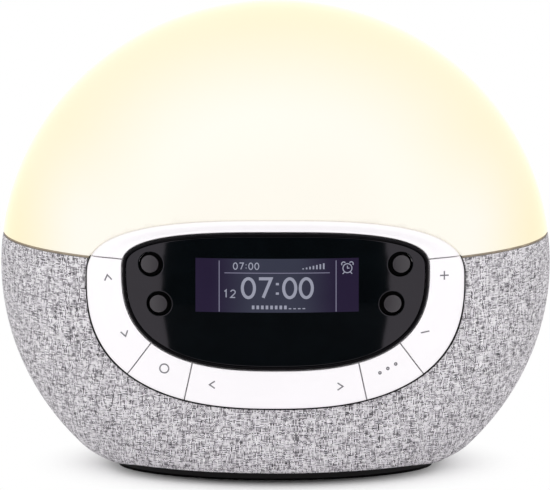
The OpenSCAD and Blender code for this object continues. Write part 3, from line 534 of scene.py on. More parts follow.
@dataclass(frozen=True)
class Woven(Finish):
    """Plain weave of melange yarns, each of which changes tone along its length, with painted shade
    in the dips between the threads.
    """

    pitch: float = 0.5 * MM
    run: float = 3.0 * MM
    slub: float = 6.0 * MM
    band: float = 1.9 * MM
    band_reach: float = 26 * MM
    wander_size: float = 3 * MM
    fibre_size: float = 0.09 * MM
    dark: Colour = srgb(34, 31, 37)
    middle: Colour = srgb(224, 219, 226)
    light: Colour = srgb(255, 253, 255)
    relief: float = 0.2 * MM
    id_step: float = 7.31

    def _tone(self, s: Shader, index: Sock, along: Sock, seed: float) -> Sock:
        """Returns the tone of a thread: short runs of dark and light fibre, and slow slubs.

        Args:
            s: The shader.
            index: The thread's number.
            along: The length along the thread, in metres.
            seed: Sets the warp's tones apart from the weft's.

        Returns:
            A value from 0, dark, to 1, light.
        """
        lane = index * self.id_step + seed
        slow = s.noise(s.vector(lane, along / self.slub), 1.0, 1.0).ramp(0.32, 0.68)
        quick = s.noise(s.vector(lane + 3.7, along / self.run), 1.0, 1.0).ramp(0.4, 0.62)
        return 0.76 * quick + 0.24 * slow

    def inputs(self, s: Shader, at: Sock) -> dict[str, Value]:
        """Works out the surface, which follows the cover's own map; see Finish."""
        u, v = s.axes(s.node("ShaderNodeUVMap", {"uv_map": Cover.UV_NAME}))[:2]

        def cloth_noise(wide: float, high: float, shift: float = 0.0, detail: float = 1.0) -> Sock:
            """Returns noise over the cloth, with clouds of that width and height."""
            across = u / wide + shift if shift else u / wide
            return s.noise(s.vector(across, v / high), 1.0, detail)

        wander = cloth_noise(self.wander_size, self.wander_size, detail=2.0) - 0.5
        across = u / self.pitch + 0.4 * wander
        up = v / self.pitch - 0.4 * wander
        warp_id, weft_id = across.floor(), up.floor()
        warp_rise = 0.5 + 0.5 * ((up + warp_id + 0.5) * math.pi).cos()
        weft_rise = 0.5 - 0.5 * ((across + weft_id + 0.5) * math.pi).cos()
        warp = ((across - warp_id) * math.pi).sin() * (0.35 + 0.65 * warp_rise)
        weft = ((up - weft_id) * math.pi).sin() * (0.35 + 0.65 * weft_rise)
        height = warp.highest(weft)
        warp_tone = self._tone(s, warp_id, v, 0.0)
        weft_tone = self._tone(s, weft_id, u, 41.0)
        tone = warp_tone + (weft > warp) * (weft_tone - warp_tone)
        fibre = cloth_noise(self.fibre_size, self.fibre_size)
        upright = cloth_noise(self.band, self.band_reach)
        level = cloth_noise(self.band_reach, self.band, shift=9.0)
        bands = 0.68 + 0.32 * (upright + level)
        # painted shade: the colour darkens where a thread dips under its neighbour, times random
        # tone from the fibres and the bands
        shade = (0.66 + 0.34 * height.ramp(0.1, 0.75)) * (0.92 + 0.14 * fibre) * bands
        stops = [(0.0, self.dark), (0.45, self.middle), (1.0, self.light)]
        yarn = s.node("ShaderNodeValToRGB", {"stops": stops}, {0: tone})
        return {
            "Base_Color": s.shaded(yarn, shade),
            "Roughness": 0.86 + 0.1 * fibre,
            "Specular_IOR_Level": 0.2,
            "Sheen_Weight": 0.15,
            "Sheen_Roughness": 0.5,
            "Normal": s.bump(height + 0.15 * fibre, self.relief, 0.8),
        }


@dataclass(frozen=True)
class Glowing(Finish):
    """A lit part of the display: a fine dot grid, and another colour at its sides."""

    colour: Colour
    strength: float
    side: Colour | None = None
    dot: float = 0.24 * MM
    cloud_size: float = 14 * MM
    side_from: float = 6 * MM
    side_to: float = 26 * MM

    def inputs(self, s: Shader, at: Sock) -> dict[str, Value]:
        """Works out the surface; see Finish."""
        x, _, z = s.axes(at)
        rows, columns = ((way * (math.pi / self.dot)).sin().abs() for way in (x, z))
        cloud = s.noise(at, self.cloud_size)
        shade = (0.86 + 0.14 * (rows * columns).ramp(0.1, 0.5)) * (0.9 + 0.2 * cloud)
        sides = x.abs().ramp(self.side_from, self.side_to)
        light = s.shaded(s.mix(sides, self.colour, self.side or self.colour), shade)
        return {
            "Base_Color": s.mix(0.05 + 0.02 * cloud, (0.0, 0.0, 0.0), light),
            "Emission_Color": light,
            "Emission_Strength": self.strength,
            "Roughness": 0.12 + 0.05 * cloud,
        }


@dataclass(frozen=True)
class Printed(Finish):
    """Pad-printed ink with slightly uneven cover."""

    colour: Colour
    grain: float = 0.3 * MM
    relief: float = 0.004 * MM

    def inputs(self, s: Shader, at: Sock) -> dict[str, Value]:
        """Works out the surface; see Finish."""
        cover = s.noise(at, self.grain)
        return {
            "Base_Color": s.clouded(self.colour, cover.ramp(0.3, 0.8), 1.0, 1.25),
            "Roughness": 0.45 + 0.15 * cover,
            "Normal": s.bump(cover, self.relief),
        }


SLOTS: tuple[Finish, ...] = (
    Opal("opal_plastic"),
    Rubber("grey_rubber", srgb(150, 138, 122), 0.5 * MM, 0.01 * MM),
    Woven("woven_cover"),
    Moulded("white_plastic", srgb(232, 232, 234), 0.5),
    Moulded("black_plastic", srgb(22, 22, 24), 0.45, 0.4 * MM, 0.02 * MM),
    Rubber("black_rubber", srgb(13, 11, 13), 0.6 * MM, 0.04 * MM, 0.15),
    Metal("screw_steel", srgb(196, 197, 201), 0.28),
    CircuitBoard("white_board", srgb(236, 237, 240), srgb(214, 216, 222)),
    Moulded("lamp_face", srgb(250, 224, 120), 0.3, 0.1 * MM, 0.01 * MM, 0.08),
    Striped("red_lead", srgb(196, 40, 32), srgb(80, 14, 12), 2.0 * MM),
    Moulded("key_plastic", srgb(254, 251, 254), 0.3, 0.2 * MM, 0.001 * MM, 0.006),
    BlackGloss("rim_black", srgb(5, 5, 6), 0.22, 0.12),
    BlackGloss("window_black"),
    BlackGloss("display_glass", srgb(38, 36, 58), 0.08),
    Moulded("backlight", srgb(226, 230, 236), 0.35, 0.6 * MM, 0.02 * MM),
    CircuitBoard("green_board", srgb(22, 84, 50), srgb(40, 116, 70)),
    Striped("ribbon", srgb(222, 216, 196), srgb(150, 146, 130), 1.0 * MM),
    Moulded("switch_black", srgb(34, 34, 36), 0.5),
    Moulded("rear_grey", srgb(214, 214, 218), 0.55, 0.5 * MM, 0.03 * MM),
    Metal("speaker_steel", srgb(92, 93, 98), 0.42, (0.3, 0.3, 0.3)),
    Metal("magnet_grey", srgb(120, 120, 124), 0.5, (0.5, 0.5, 0.5)),
    PulpCone("cone_paper", srgb(36, 35, 36)),
    Metal("nut_metal", srgb(190, 190, 192), 0.3),
    Striped("black_lead", srgb(30, 30, 32), srgb(8, 8, 9), 1.5 * MM),
    Moulded("capacitor", srgb(40, 44, 78), 0.35, 0.3 * MM, 0.004 * MM, 0.1),
    Moulded("plunger_plastic", srgb(206, 190, 150), 0.4),
    Moulded("button_grey", srgb(52, 48, 53), 0.36, 0.2 * MM, 0.004 * MM, 0.05, specular=0.6),
)


class Materials:
    """The part's finishes, built once each."""

    def __init__(self) -> None:
        """Builds the material of each slot and of the printed and lit marks."""
        self.by_slot = {finish.name: finish.build() for finish in SLOTS}
        self.ink = Printed("key_ink", srgb(112, 110, 116)).build()
        self.lcd_ground = Glowing("lcd_ground", srgb(58, 60, 76), 0.95, srgb(39, 31, 55)).build()
        self.lcd_light = Glowing("lcd_light", srgb(152, 154, 170), 1.0).build()
        self.lcd_line = Glowing("lcd_line", srgb(122, 120, 142), 1.0).build()
        # painted shade: a near-black, almost unreflecting finish for the button skirts, standing in
        # for the shade in the moats round the caps
        self.well = Moulded("painted_shade_well", srgb(5, 4, 6), 0.6, specular=0.08).build()

    def __getitem__(self, slot: str) -> bpy.types.Material:
        """Returns the material of a slot."""
        return self.by_slot[slot]

    def dress_nodes(self, nodes: dict[str, bpy.types.Object]) -> None:
        """Gives every CAD node its slot's finish.

        Args:
            nodes: The nodes by name.
        """
        for name, node in nodes.items():
            for entry in node.material_slots:
                entry.material = self.by_slot[entry.material.name.split(".")[0]]
            LOG.info("node %s dressed as %s", name, node.material_slots[0].material.name)

    def piece(
        self,
        mesh: "Mesh",
        name: str,
        slot: str,
        *replaced: str,
        body: str = CLOCK_BODY,
        finish: bpy.types.Material | None = None,
        cutters: Iterable[bpy.types.Object] = (),
    ) -> bpy.types.Object:
        """Makes a mesh into a registered piece.

        Args:
            mesh: Its points and faces.
            name: Its name.
            slot: The record's material slot.
            *replaced: The CAD nodes it stands for.
            body: The CAD body it moves with.
            finish: Its material, where that isn't the slot's own.
            cutters: Solids that are cut out of it.

        Returns:
            The piece.
        """
        made = mesh.make(name, finish or self.by_slot[slot])
        cut(made, cutters)
        return register(made, body, slot, *replaced)


# ---------------------------------------------------------------- meshes


def register(piece: bpy.types.Object, body: str, slot: str, *replaced: str) -> bpy.types.Object:
    """Lets a piece ride on a body and stand for CAD nodes.

    Args:
        piece: The piece.
        body: The CAD body it moves with.
        slot: Not used.
        *replaced: The CAD nodes it stands for.

    Returns:
        The piece.
    """
    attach(piece, body)
    if replaced:
        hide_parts(*replaced)
    LOG.info("piece %s rides on %s, %d faces", piece.name, body, len(piece.data.polygons))
    return piece


SHARP = math.radians(35.0)


@dataclass
class Mesh:
    """Points and faces under construction."""

    points: list[Vector] = field(default_factory=list)
    faces: list[tuple[int, ...]] = field(default_factory=list)

    def add(self, points: Iterable[Vector]) -> list[int]:
        """Adds points.

        Args:
            points: The points.

        Returns:
            Their numbers.
        """
        first = len(self.points)
        self.points.extend(points)
        return list(range(first, len(self.points)))

    def strip(self, first: Sequence[int], second: Sequence[int], closed: bool = True) -> None:
        """Joins two rows of as many points with quads.

        Args:
            first, second: The rows.
            closed: Whether they go round to their start.
        """
        count = len(first)
        for i in range(count if closed else count - 1):
            j = (i + 1) % count
            self.faces.append((first[i], first[j], second[j], second[i]))

    def fan(self, rim: Sequence[int], tip: int) -> None:
        """Joins a closed row to one point with triangles."""
        for i, a in enumerate(rim):
            self.faces.append((a, rim[(i + 1) % len(rim)], tip))

    def rows(self, rows: Sequence[Sequence[int]], closed: bool = True) -> None:
        """Joins each row to the next."""
        for first, second in zip(rows, rows[1:]):
            self.strip(first, second, closed)

    def cap(self, rim: Sequence[int]) -> None:
        """Closes a row with one face."""
        self.faces.append(tuple(rim))

    def tube(self, rows: Sequence[Sequence[int]]) -> None:
        """Joins each row to the next and closes the first and the last.

        Args:
            rows: The closed rows.
        """
        self.rows(rows)
        self.cap(rows[0])
        self.cap(rows[-1])

    def make(self, name: str, material: bpy.types.Material) -> bpy.types.Object:
        """Makes an object with smooth shading and sharp edges where it bends hard.

        Args:
            name: The piece's name.
            material: Its finish.

        Returns:
            The object, linked to the scene.
        """
        mesh = bpy.data.meshes.new(name)
        mesh.from_pydata([tuple(p) for p in self.points], [], self.faces)
        bm = bmesh.new()
        bm.from_mesh(mesh)
        bmesh.ops.recalc_face_normals(bm, faces=bm.faces)
        bm.to_mesh(mesh)
        bm.free()
        mesh.materials.append(material)
        mesh.polygons.foreach_set("use_smooth", [True] * len(mesh.polygons))
        mesh.set_sharp_from_angle(angle=SHARP)
        made = bpy.data.objects.new(name, mesh)
        bpy.context.scene.collection.objects.link(made)
        return made


def spread(low: float, high: float, count: int) -> list[float]:
    """Returns count + 1 even steps from low to high."""
    return [low + (high - low) * i / count for i in range(count + 1)]


def turns(count: int, start: float = 0.0) -> list[float]:
    """Returns the angles of a full turn in even steps, in radians."""
    return [start + 2 * math.pi * i / count for i in range(count)]


def circle(centre: Point2, radius: float, count: int) -> list[Point2]:
    """Returns points evenly spaced round a circle."""
    x, y = centre
    return [(x + radius * math.cos(a), y + radius * math.sin(a)) for a in turns(count)]


def fillet(radius: float, count: int, end: float = math.pi / 2) -> list[Point2]:
    """Returns steps round an edge: how far each lies in from the side and below the top."""
    around = spread(0.0, end, count)
    return [(radius * (1 - math.cos(a)), radius * (1 - math.sin(a))) for a in around]


def smooth(t: float) -> float:
    """Returns t from 0 to 1 with soft ends."""
    t = max(0.0, min(1.0, t))
    return t * t * (3 - 2 * t)


def cut(piece: bpy.types.Object, cutters: Iterable[bpy.types.Object]) -> None:
    """Cuts solids out of a piece, applies the result and deletes the cutters.

    Args:
        piece: The piece.
        cutters: The solids.
    """
    for tool in cutters:
        step = piece.modifiers.new("cut", "BOOLEAN")
        step.operation = "DIFFERENCE"
        step.solver = "EXACT"
        step.object = tool
        graph = bpy.context.evaluated_depsgraph_get()
        result = bpy.data.meshes.new_from_object(piece.evaluated_get(graph))
        piece.modifiers.clear()
        old = piece.data
        piece.data = result
        bpy.data.meshes.remove(old)
        bpy.data.objects.remove(tool)


# ---------------------------------------------------------------- the body's form


@dataclass(frozen=True)
class Egg:
    """The leaning egg that the dome, the gasket and the cover are cut from."""

    half_width: float = 105 * MM
    half_depth: float = 62.5 * MM
    waist: float = 77 * MM
    crown: float = 99 * MM
    belly: float = 97 * MM
    slant: float = math.tan(math.radians(7))
    foot_top: float = 2 * MM
    foot_half: float = 60 * MM
    tuck_low: float = 0.7 * MM
    tuck_slope: float = math.radians(25)
    tuck_blend: float = 2.4 * MM
    sides: int = 224

    def share(self, z: float, inset: float = 0.0) -> float:
        """Returns a level's radius as a share of the widest one's."""
        height = (self.belly if z < self.waist else self.crown) - inset
        return math.sqrt(max(0.0, 1 - ((z - self.waist) / height) ** 2))

    def centre(self, z: float) -> float:
        """Returns the y of a level's middle."""
        return self.slant * (z - self.foot_top)

    def radii(self, z: float, inset: float) -> Point2:
        """Measures a level, which draws in towards the foot.

        Args:
            z: The level.
            inset: How far inside the skin it lies.

        Returns:
            Its half width and half depth.
        """
        wide = (self.half_width - inset) * self.share(z, inset)
        tuck = self.foot_half + (z - self.tuck_low) / math.tan(self.tuck_slope)
        tuck -= inset / math.sin(self.tuck_slope)
        mixed = max(0.0, self.tuck_blend - abs(wide - tuck)) ** 2 / (4 * self.tuck_blend)
        wide = min(wide, tuck) - mixed
        return wide, wide * (self.half_depth - inset) / (self.half_width - inset)

    def ring(self, z: float, inset: float) -> list[Vector]:
        """Returns the points of a level section at an inset, from the back seam round the front."""
        return [self.spot(a, z, inset) for a in turns(self.sides, math.pi / 2)]

    def spot(self, turn: float, z: float, inset: float) -> Vector:
        """Returns the point of a level section at a turn from the right, in radians."""
        wide, deep = self.radii(z, inset)
        return Vector((wide * math.cos(turn), self.centre(z) + deep * math.sin(turn), z))

    def holds(self, at: Vector) -> bool:
        """Tells whether a point lies inside the skin."""
        wide, deep = self.radii(at.z, 0.0)
        return math.hypot(at.x / wide, (at.y - self.centre(at.z)) / deep) < 1

    def skin_y(self, z: float, side: int) -> float:
        """Returns the y of the skin in front, side -1, or behind, side 1."""
        return side * self.half_depth * self.share(z) + self.centre(z)

    def skin_tilt(self, z: float, side: int) -> float:
        """Works out how far the skin's normal looks up.

        Args:
            z: The level.
            side: -1 in front or 1 behind.

        Returns:
            The angle, in radians.
        """
        dy = side * self.share(z) / self.half_depth
        height = self.belly if z < self.waist else self.crown
        dz = (z - self.waist) / height**2 - self.slant * dy
        return math.atan2(dz, abs(dy))

    def face_radius(self) -> float:
        """Returns the mean radius of the front and of the back."""
        return (self.half_width**2 + self.belly**2) / (2 * self.half_depth)


EGG = Egg()


@dataclass(frozen=True)
class Face:
    """A frame on the body's front or back: u to its right, v up, and a level out of its curve."""

    height: float
    side: int
    radius: float = EGG.face_radius()

    def rise(self, u: float, v: float, level: float) -> float:
        """Returns the height above the frame's plane of a level over the curved face."""
        return math.sqrt((self.radius + level) ** 2 - u * u - v * v) - self.radius

    def point(self, u: float, v: float, level: float) -> Vector:
        """Returns the point at u, v and a level above the curved face."""
        return self.flat(u, v, self.rise(u, v, level))

    def row(self, points: Iterable[Point2], level: float) -> list[Vector]:
        """Returns the points at one level above the curved face."""
        return [self.point(u, v, level) for u, v in points]

    def flat_row(self, points: Iterable[Point2], height: float) -> list[Vector]:
        """Returns the points at one height above the frame's plane."""
        return [self.flat(u, v, height) for u, v in points]

    def flat(self, u: float, v: float, w: float) -> Vector:
        """Places a point in the frame.

        Args:
            u, v: How far it lies to the right and up.
            w: Its height above the frame's plane.

        Returns:
            The point.
        """
        tilt = EGG.skin_tilt(self.height, self.side)
        out = Vector((0.0, self.side * math.cos(tilt), math.sin(tilt)))
        up = Vector((0.0, -self.side * math.sin(tilt), math.cos(tilt)))
        right = Vector((-self.side, 0.0, 0.0))
        apex = Vector((0.0, EGG.skin_y(self.height, self.side), self.height))
        return apex + u * right + v * up + w * out

    def skin(self, u: float, v: float) -> float:
        """Finds the egg's skin by halving the span that it lies in.

        Args:
            u, v: The place on the frame.

        Returns:
            Its height above the frame's plane.
        """
        low, high = SKIN_SPAN
        for _ in range(30):
            middle = (low + high) / 2
            low, high = (middle, high) if EGG.holds(self.flat(u, v, middle)) else (low, middle)
        return low

    def outward(self) -> Vector:
        """Returns the frame's direction out of the body."""
        return self.flat(0, 0, 1) - self.flat(0, 0, 0)


FRONT = Face(69.7 * MM, -1)
BACK = Face(60 * MM, 1)


@dataclass(frozen=True)
class Outline:
    """A rounded outline, widest at one height, counted anticlockwise from its right."""

    half: float
    top: float
    bottom: float
    middle: float
    power: float
    fine: int = 2400

    def inset(self, by: float) -> "Outline":
        """Returns the outline moved in by a distance."""
        return replace(self, half=self.half - by, top=self.top - by, bottom=self.bottom - by)

    def points(self) -> list[Point2]:
        """Works out the fine polyline.

        Returns:
            The points, without a repeated start.
        """
        found = []
        for i in range(self.fine):
            a = 2 * math.pi * i / self.fine
            c, s = math.cos(a), math.sin(a)
            x = math.copysign(abs(c) ** (2 / self.power), c)
            y = math.copysign(abs(s) ** (2 / self.power), s)
            reach = self.top - self.middle if y > 0 else self.middle + self.bottom
            found.append((self.half * x, self.middle + reach * y))
        return found


class Track:
    """An outline walked by its length."""

    def __init__(self, outline: Outline) -> None:
        """Measures the outline.

        Args:
            outline: The outline.
        """
        self.points = outline.points()
        self.points.append(self.points[0])
        self.marks = [0.0]
        for (x0, y0), (x1, y1) in zip(self.points, self.points[1:]):
            self.marks.append(self.marks[-1] + math.hypot(x1 - x0, y1 - y0))
        self.length = self.marks[-1]

    def at(self, way: float) -> Point2:
        """Finds a point.

        Args:
            way: The length along the outline.

        Returns:
            The point there.
        """
        way %= self.length
        low, high = 0, len(self.marks) - 1
        while high - low > 1:
            mid = (low + high) // 2
            low, high = (mid, high) if self.marks[mid] <= way else (low, mid)
        t = (way - self.marks[low]) / max(1e-12, self.marks[high] - self.marks[low])
        (x0, y0), (x1, y1) = self.points[low], self.points[high]
        return x0 + (x1 - x0) * t, y0 + (y1 - y0) * t

    def loop(self, count: int) -> list[Point2]:
        """Returns points evenly spaced round the outline."""
        return [self.at(self.length * i / count) for i in range(count)]

    def crossing(self, start: Point2, angle: float) -> float:
        """Returns the length at which a ray from a point leaves the outline.

        Args:
            start: The ray's start, inside or near the outline.
            angle: Its direction, in radians.

        Returns:
            The length along the outline.
        """
        dx, dy = math.cos(angle), math.sin(angle)
        best = (-1e9, 0.0)
        for i, ((x0, y0), (x1, y1)) in enumerate(zip(self.points, self.points[1:])):
            a = (x0 - start[0]) * dy - (y0 - start[1]) * dx
            b = (x1 - start[0]) * dy - (y1 - start[1]) * dx
            if a * b <= 0 and a != b:
                t = a / (a - b)
                x, y = x0 + (x1 - x0) * t, y0 + (y1 - y0) * t
                ahead = (x - start[0]) * dx + (y - start[1]) * dy
                way = self.marks[i] + t * (self.marks[i + 1] - self.marks[i])
                best = max(best, (ahead, way))
        return best[1]


PANEL = Outline(72 * MM, 36.2 * MM, 36.1 * MM, 13 * MM, 2.6)
WINDOW = Outline(58.5 * MM, 31.8 * MM, 21 * MM, 17 * MM, 2.7)
REAR = Outline(48 * MM, 27 * MM, 27 * MM, 0.0, 2.9)
CLEAR = 0.2 * MM
PANEL_CUT = mm(-45, 30)
REAR_CUT = mm(-20, 20)
SKIN_SPAN = mm(-40, 20)


def prism(face: Face, outline: Outline, low: float, high: float) -> bpy.types.Object:
    """Returns a solid of an outline through the body, for cutting.

    Args:
        face: The frame that holds the outline.
        outline: The outline.
        low, high: Its two ends above the frame's plane.

    Returns:
        The cutter.
    """
    mesh = Mesh()
    loop = Track(outline).loop(360)
    mesh.tube([mesh.add(face.flat_row(loop, w)) for w in (low, high)])
    return mesh.make("cutter", bpy.data.materials["white_plastic"])


def panel_hole() -> bpy.types.Object:
    """Returns the cutter of the control panel's opening."""
    return prism(FRONT, PANEL.inset(-CLEAR), *PANEL_CUT)


# ---------------------------------------------------------------- dome, gasket and cover


@dataclass
class Dome:
    """The opal light dome, with its lip that drops into the housing, and the gasket under it."""

    materials: Materials
    wall: float = 2.5 * MM
    seam: float = 88.5 * MM
    edge: float = 0.5 * MM
    lip_low: float = 85.8 * MM
    lip_root: float = 2 * MM
    lip_outer: float = 4.65 * MM
    lip_inner: float = 6.15 * MM
    gasket: float = 0.9 * MM
    gasket_gap: float = 0.05 * MM
    gasket_inset: float = 0.55 * MM
    gasket_bulge: float = 0.2 * MM
    gasket_back: float = 4.1 * MM

    def profile(self) -> list[Point2]:
        """Works out the shell's section, rounded at its edge and with a lip under it.

        Returns:
            Insets and levels, from the outer pole to the inner pole.
        """
        low = self.seam + self.gasket / 2
        root = low + self.lip_root
        outer_turn = math.asin((low + self.edge - EGG.waist) / EGG.crown)
        outer_steps = spread(math.pi / 2, outer_turn, 60)[1:]
        outer = [(0.0, EGG.waist + EGG.crown * math.sin(a)) for a in outer_steps]
        round_edge = [(inwards, low + drop) for inwards, drop in fillet(self.edge, 5)[1:]]
        lip = [
            (self.lip_outer, low),
            (self.lip_outer, self.lip_low),
            (self.lip_inner, self.lip_low),
            (self.lip_inner, root),
        ]
        crown = EGG.crown - self.wall
        inner_steps = spread(math.asin((root - EGG.waist) / crown), math.pi / 2, 36)[:-1]
        inner = [(self.wall, EGG.waist + crown * math.sin(a)) for a in inner_steps]
        return outer + round_edge + lip + inner

    def build_shell(self) -> None:
        """Makes the dome and cuts the panel's opening out of it."""
        mesh = Mesh()
        rows = [mesh.add(EGG.ring(z, inset)) for inset, z in self.profile()]
        mesh.rows(rows)
        for row, height in ((rows[0], EGG.crown), (rows[-1], EGG.crown - self.wall)):
            top = EGG.waist + height
            mesh.fan(row, mesh.add([Vector((0.0, EGG.centre(top), top))])[0])
        opening = [panel_hole()]
        self.materials.piece(mesh, "opal_dome", "opal_plastic", "diffuser_dome", cutters=opening)

    def build_gasket(self) -> None:
        """Makes the soft ring between the dome and the cover, bulging a little."""
        low = self.seam - self.gasket / 2 + self.gasket_gap
        high = self.seam + self.gasket / 2 - self.gasket_gap
        section = [
            (self.gasket_inset - self.gasket_bulge * math.sin(math.pi * t), low + (high - low) * t)
            for t in spread(0, 1, 8)
        ]
        section += [(self.gasket_back, high), (self.gasket_back, low)]
        mesh = Mesh()
        rows = [mesh.add(EGG.ring(z, inset)) for inset, z in section]
        mesh.rows([*rows, rows[0]])
        opening = [panel_hole()]
        self.materials.piece(mesh, "seam_gasket", "grey_rubber", "dome_gasket", cutters=opening)


@dataclass
class Cover:
    """The woven cover, stretched over the housing from the seam to the foot."""

    materials: Materials
    low: float = 2.6 * MM
    high: float = 88.05 * MM
    cloth: float = 0.9 * MM
    edge: float = 0.3 * MM
    bands: int = 96
    front_rise: float = 2.9 * MM
    rise_from: float = 0.2
    rise_span: float = 0.55
    rise_reach: float = 14 * MM
    trim_inset: float = 0.4 * MM
    trim_least: float = 0.1 * MM
    trim_gap: float = 0.02 * MM
    trim_back_gap: float = 0.05 * MM
    flat_size: Point2 = (0.54, 0.118)
    UV_NAME = "weave"

    def lift(self, turn: float) -> float:
        """Returns how far the hem rises at a turn from the right, in radians."""
        return self.front_rise * smooth((-math.sin(turn) - self.rise_from) / self.rise_span)

    def ring(self, z: float, inset: float) -> list[Vector]:
        """Lays a level of the cloth, which follows the hem near the foot.

        Args:
            z: The level.
            inset: How far inside the skin it lies.

        Returns:
            The points, from the back seam round the front.
        """
        share = max(0.0, 1 - (z - self.low) / self.rise_reach)
        around = turns(EGG.sides, math.pi / 2)
        return [EGG.spot(a, z + share * self.lift(a), inset) for a in around]

    def profile(self) -> list[Point2]:
        """Works out the cloth's closed section, rounded at both hems.

        Returns:
            Insets and levels, down its face and up its back.
        """
        turn_low = math.asin((self.low - EGG.waist) / EGG.belly)
        turn_high = math.asin((self.high - EGG.waist) / EGG.crown)
        face = []
        for a in spread(turn_high, turn_low, self.bands):
            z = EGG.waist + (EGG.crown if a > 0 else EGG.belly) * math.sin(a)
            fold = max(0.0, self.edge - min(self.high - z, z - self.low)) ** 2 / (2 * self.edge)
            face.append((fold, z))
        back = [(self.cloth, z) for z in spread(self.low, self.high, self.bands // 2)]
        return face + back

    def weave_map(self, piece: bpy.types.Object, rows: list[list[Vector]]) -> None:
        """Writes the map that the weave follows: arc length round each level and down the front.

        Args:
            piece: The cover before it is cut, its faces in the order of its rows.
            rows: The points of its rows.
        """
        sides = EGG.sides
        down, place = [0.0], []
        for upper, lower in zip(rows, rows[1:]):
            down.append(down[-1] - (lower[sides // 2] - upper[sides // 2]).length)
        down.append(down[-1])
        for row in rows:
            steps = [(row[(i + 1) % sides] - row[i]).length for i in range(sides)]
            round_it, ways = sum(steps), [0.0]
            for step in steps:
                ways.append(ways[-1] + step)
            place.append([way - round_it / 2 for way in ways])
        place.append(place[0])
        layer = piece.data.uv_layers.new(name=self.UV_NAME)
        for polygon in piece.data.polygons:
            numbers = [piece.data.loops[i].vertex_index for i in polygon.loop_indices]
            columns = [n % sides for n in numbers]
            wraps = max(columns) - min(columns) > 1
            for loop_index, number, column in zip(polygon.loop_indices, numbers, columns):
                row = number // sides
                column = sides if wraps and column == 0 else column
                layer.data[loop_index].uv = (place[row][column], down[row])

    def build(self) -> None:
        rows = [self.ring(z, inset) for inset, z in self.profile()]
        mesh = Mesh()
        numbers = [mesh.add(row) for row in rows]
        mesh.rows([*numbers, numbers[0]])
        cover = mesh.make("woven_cover", self.materials["woven_cover"])
        self.weave_map(cover, rows)
        cut(cover, [panel_hole(), prism(BACK, REAR.inset(-CLEAR), *REAR_CUT)])
        register(cover, CLOCK_BODY, "woven_cover", "fabric_cover")
        self.build_trim()

    def build_trim(self) -> None:
        """Makes the thin black edging in front, between the cloth's hem and the foot."""
        back = self.cloth - self.trim_back_gap
        mesh = Mesh()
        columns = []
        for turn in spread(math.pi, 2 * math.pi, 160):
            if self.lift(turn) > self.trim_least:
                high = self.low + self.lift(turn) - self.trim_gap
                section = [(self.trim_inset, z) for z in spread(self.low, high, 6)]
                section += [(back, high), (back, self.low)]
                columns.append(mesh.add(EGG.spot(turn, z, inset) for inset, z in section))
        mesh.tube(columns)
        self.materials.piece(mesh, "hem_trim", "black_rubber")


# ---------------------------------------------------------------- control panel


@dataclass(frozen=True)
class Gap:
    """A straight gap between two keys: a point on it and its direction in degrees."""

    start: Point2
    angle: float

    def mirrored(self) -> "Gap":
        """Returns the same gap on the other side."""
        return Gap((-self.start[0], self.start[1]), 180 - self.angle)

    def shifted(self, by: float) -> "Gap":
        """Moves the gap's line sideways.

        Args:
            by: The distance, positive for anticlockwise.

        Returns:
            The moved line.
        """
        side = math.radians(self.angle + 90)
        x, y = self.start
        return Gap((x + by * math.cos(side), y + by * math.sin(side)), self.angle)


LEFT_GAPS = (
    Gap(mm(-58, 20.3), 176.8),
    Gap(mm(-47.1, -10.9), 233.9),
    Gap(mm(-31.6, -18.2), 257.9),
)
RIGHT_GAPS = tuple(gap.mirrored() for gap in LEFT_GAPS)
KEY_GAP = 0.45 * MM


@dataclass(frozen=True)
class Key:
    """A key of the ring, between two gaps counted anticlockwise, and the switches under it."""

    name: str
    first: Gap
    last: Gap
    stems: tuple[Point2, ...]

    @property
    def body(self) -> str:
        """Returns the name of its CAD body, which is its CAD node's name too."""
        return f"{self.name}_key"


SIDE_STEMS = (mm(-64.1, 11.5), mm(-57.1, -9.5))
BOTTOM_STEMS = (mm(-24.7, -28.2), mm(24.7, -28.2))
CORNER_STEM = (mm(-43.2, -23.4),)


def mirrored(points: Iterable[Point2]) -> tuple[Point2, ...]:
    """Returns the points on the other side of the panel."""
    return tuple((-u, v) for u, v in points)


KEYS = (
    Key("up_down", LEFT_GAPS[0], LEFT_GAPS[1], SIDE_STEMS),
    Key("select", LEFT_GAPS[1], LEFT_GAPS[2], CORNER_STEM),
    Key("left_right", LEFT_GAPS[2], RIGHT_GAPS[2], BOTTOM_STEMS),
    Key("preset", RIGHT_GAPS[2], RIGHT_GAPS[1], mirrored(CORNER_STEM)),
    Key("plus_minus", RIGHT_GAPS[1], RIGHT_GAPS[0], mirrored(SIDE_STEMS)),
)


